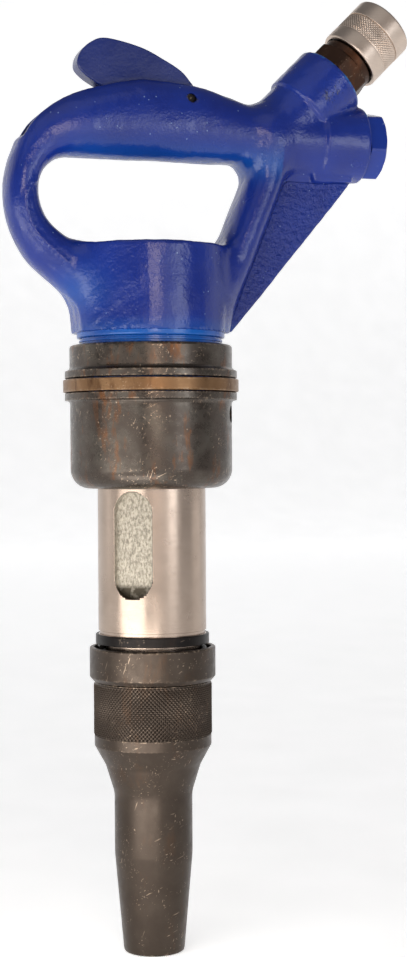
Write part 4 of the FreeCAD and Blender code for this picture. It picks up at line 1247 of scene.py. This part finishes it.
def build_spring(node, mean, wire, fixed_end, moving_end, turns, body, place):
    """A coil of wire between its fixed and moving end. The body is not used."""
    sides = 12
    low, high = sorted((fixed_end, moving_end))
    angle = np.linspace(0.0, 2.0 * math.pi * turns, int(turns * 48) + 1)[:, None]
    height = np.linspace(low + wire, high - wire, len(angle))[:, None]
    around = np.arange(sides)[None, :] * (2.0 * math.pi / sides)
    radius = mean + wire * np.cos(around)
    points = np.stack([radius * np.cos(angle), radius * np.sin(angle),
                       height + wire * np.sin(around)], axis=-1).reshape(-1, 3)
    faces = grid_faces(len(angle), sides)[:-sides]
    faces += [tuple(range(sides)), tuple(range(len(points) - sides, len(points)))]
    obj = make_object(node + "_coil", place(points), faces, WIRE, None, [node])
    clean_up(obj)
    smooth_shade(obj, 50.0)
    ends = place(np.array([(0.0, 0.0, fixed_end), (0.0, 0.0, moving_end)])) * MM
    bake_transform(obj)


# ---- stage
def build_stage():
    """Pale floor that curves up into a far backdrop, in metres."""
    half_width, front, depth, rise, wall = 9.0, -9.0, 3.2, 1.2, 4.0
    clearance = 0.0004
    bend = [(depth + rise * math.sin(a), rise * (1.0 - math.cos(a)))
            for a in np.linspace(0.0, math.pi / 2.0, 17)]
    section = [(front, 0.0)] + bend + [(depth + rise, wall)]
    floor_z = cad_bounds[0].z - clearance
    points = [(side * half_width, y, z + floor_z) for y, z in section for side in (-1.0, 1.0)]
    faces = [(2 * n, 2 * n + 1, 2 * n + 3, 2 * n + 2) for n in range(len(section) - 1)]
    mesh = bpy.data.meshes.new("stage_floor")
    mesh.from_pydata(points, [], faces)
    mesh.shade_smooth()
    floor = bpy.data.objects.new("stage_floor", mesh)
    bpy.context.scene.collection.objects.link(floor)
    m = Material("stage_white")
    colour = m.mix(m.ramp(m.noise(60.0), 0.3, 0.7), (0.86, 0.86, 0.86, 1.0), (0.9, 0.9, 0.9, 1.0))
    # The floor and backdrop glow, brighter towards the back: painted light that also lights the tool.
    glow = m.ramp(m.height_part("Y"), -0.3, 1.5, 0.55, 0.67)
    m.set(Base_Color=colour, Roughness=0.9, Emission_Color=colour, Emission_Strength=glow)
    mesh.materials.append(m.material)


def area_light(name, azimuth, distance, height, size, power, colour):
    """A soft light aimed at the tool. Azimuth 0 is on the camera's side, and positive is right."""
    highest_aim = 0.25
    angle = math.radians(azimuth + CAMERA_AZIMUTH)
    data = bpy.data.lights.new(name, "AREA")
    data.shape = "RECTANGLE"
    data.size, data.size_y = size
    data.energy = power
    data.color = colour
    light = bpy.data.objects.new(name, data)
    light.location = (distance * math.sin(angle), -distance * math.cos(angle), height)
    light.visible_camera = False
    aim = Vector((0.0, 0.0, min(height, highest_aim))) - light.location
    light.rotation_euler = aim.to_track_quat("-Z", "Y").to_euler()
    bpy.context.scene.collection.objects.link(light)


def build_lights():
    """A wide box in front with two bright strips, low windows on the left, and weak sides."""
    window, side = (1.0, 0.97, 0.93), (1.0, 0.98, 0.96)
    area_light("overhead_front", -12.0, 1.35, 1.98, (2.4, 1.6), 4.5, (1.0, 0.99, 0.97))
    area_light("window_left", -42.0, 0.8, 0.14, (0.85, 0.24), 1.9, window)
    area_light("window_low", -20.0, 0.16, 0.07, (0.22, 0.125), 0.27, window)
    area_light("soft_box", 27.0, 1.5, 0.39, (1.7, 0.58), 2.8, (1.0, 0.97, 0.95))
    area_light("strip_front", 7.5, 1.45, 0.52, (0.40, 0.33), 2.4, (1.0, 0.78, 0.62))
    area_light("strip_right", 46.0, 1.45, 0.36, (0.48, 0.5), 1.7, (0.88, 0.94, 1.0))
    area_light("side_left", -95.0, 1.5, 0.8, (0.9, 1.6), 2.0, side)
    area_light("side_right", 110.0, 1.5, 0.8, (0.9, 1.6), 2.2, side)
    world = bpy.data.worlds.new("studio")
    world.use_nodes = True
    background = world.node_tree.nodes["Background"]
    background.inputs["Color"].default_value = (0.95, 0.96, 1.0, 1.0)
    background.inputs["Strength"].default_value = 0.18
    bpy.context.scene.world = world


def build_camera():
    """The camera in front of the tool, a little to its left."""
    data = bpy.data.cameras.new("camera")
    data.sensor_width = CAMERA_SENSOR
    data.lens = CAMERA_LENS
    data.clip_start = 0.01
    camera = bpy.data.objects.new("camera", data)
    camera.location = CAMERA_PLACE
    camera.rotation_euler = [math.radians(angle)
                             for angle in (CAMERA_PITCH, CAMERA_ROLL, CAMERA_YAW)]
    bpy.context.scene.collection.objects.link(camera)
    bpy.context.scene.camera = camera
    bpy.context.scene.view_settings.view_transform = "Standard"


def main():
    build_camera()
    build_lights()
    build_stage()
    dress_cad_nodes()
    build_handle()
    build_neck()
    build_lever()
    build_retainer()
    build_lock_ring()
    build_seat_ring()
    build_barrel()
    build_clamp_nut()
    build_washer()
    build_lock_nut()
    build_plug()
    build_coupler_body()
    build_coupler_sleeve()
    for spring in SPRINGS:
        build_spring(*spring)


main()
bpy.context.view_layer.update()
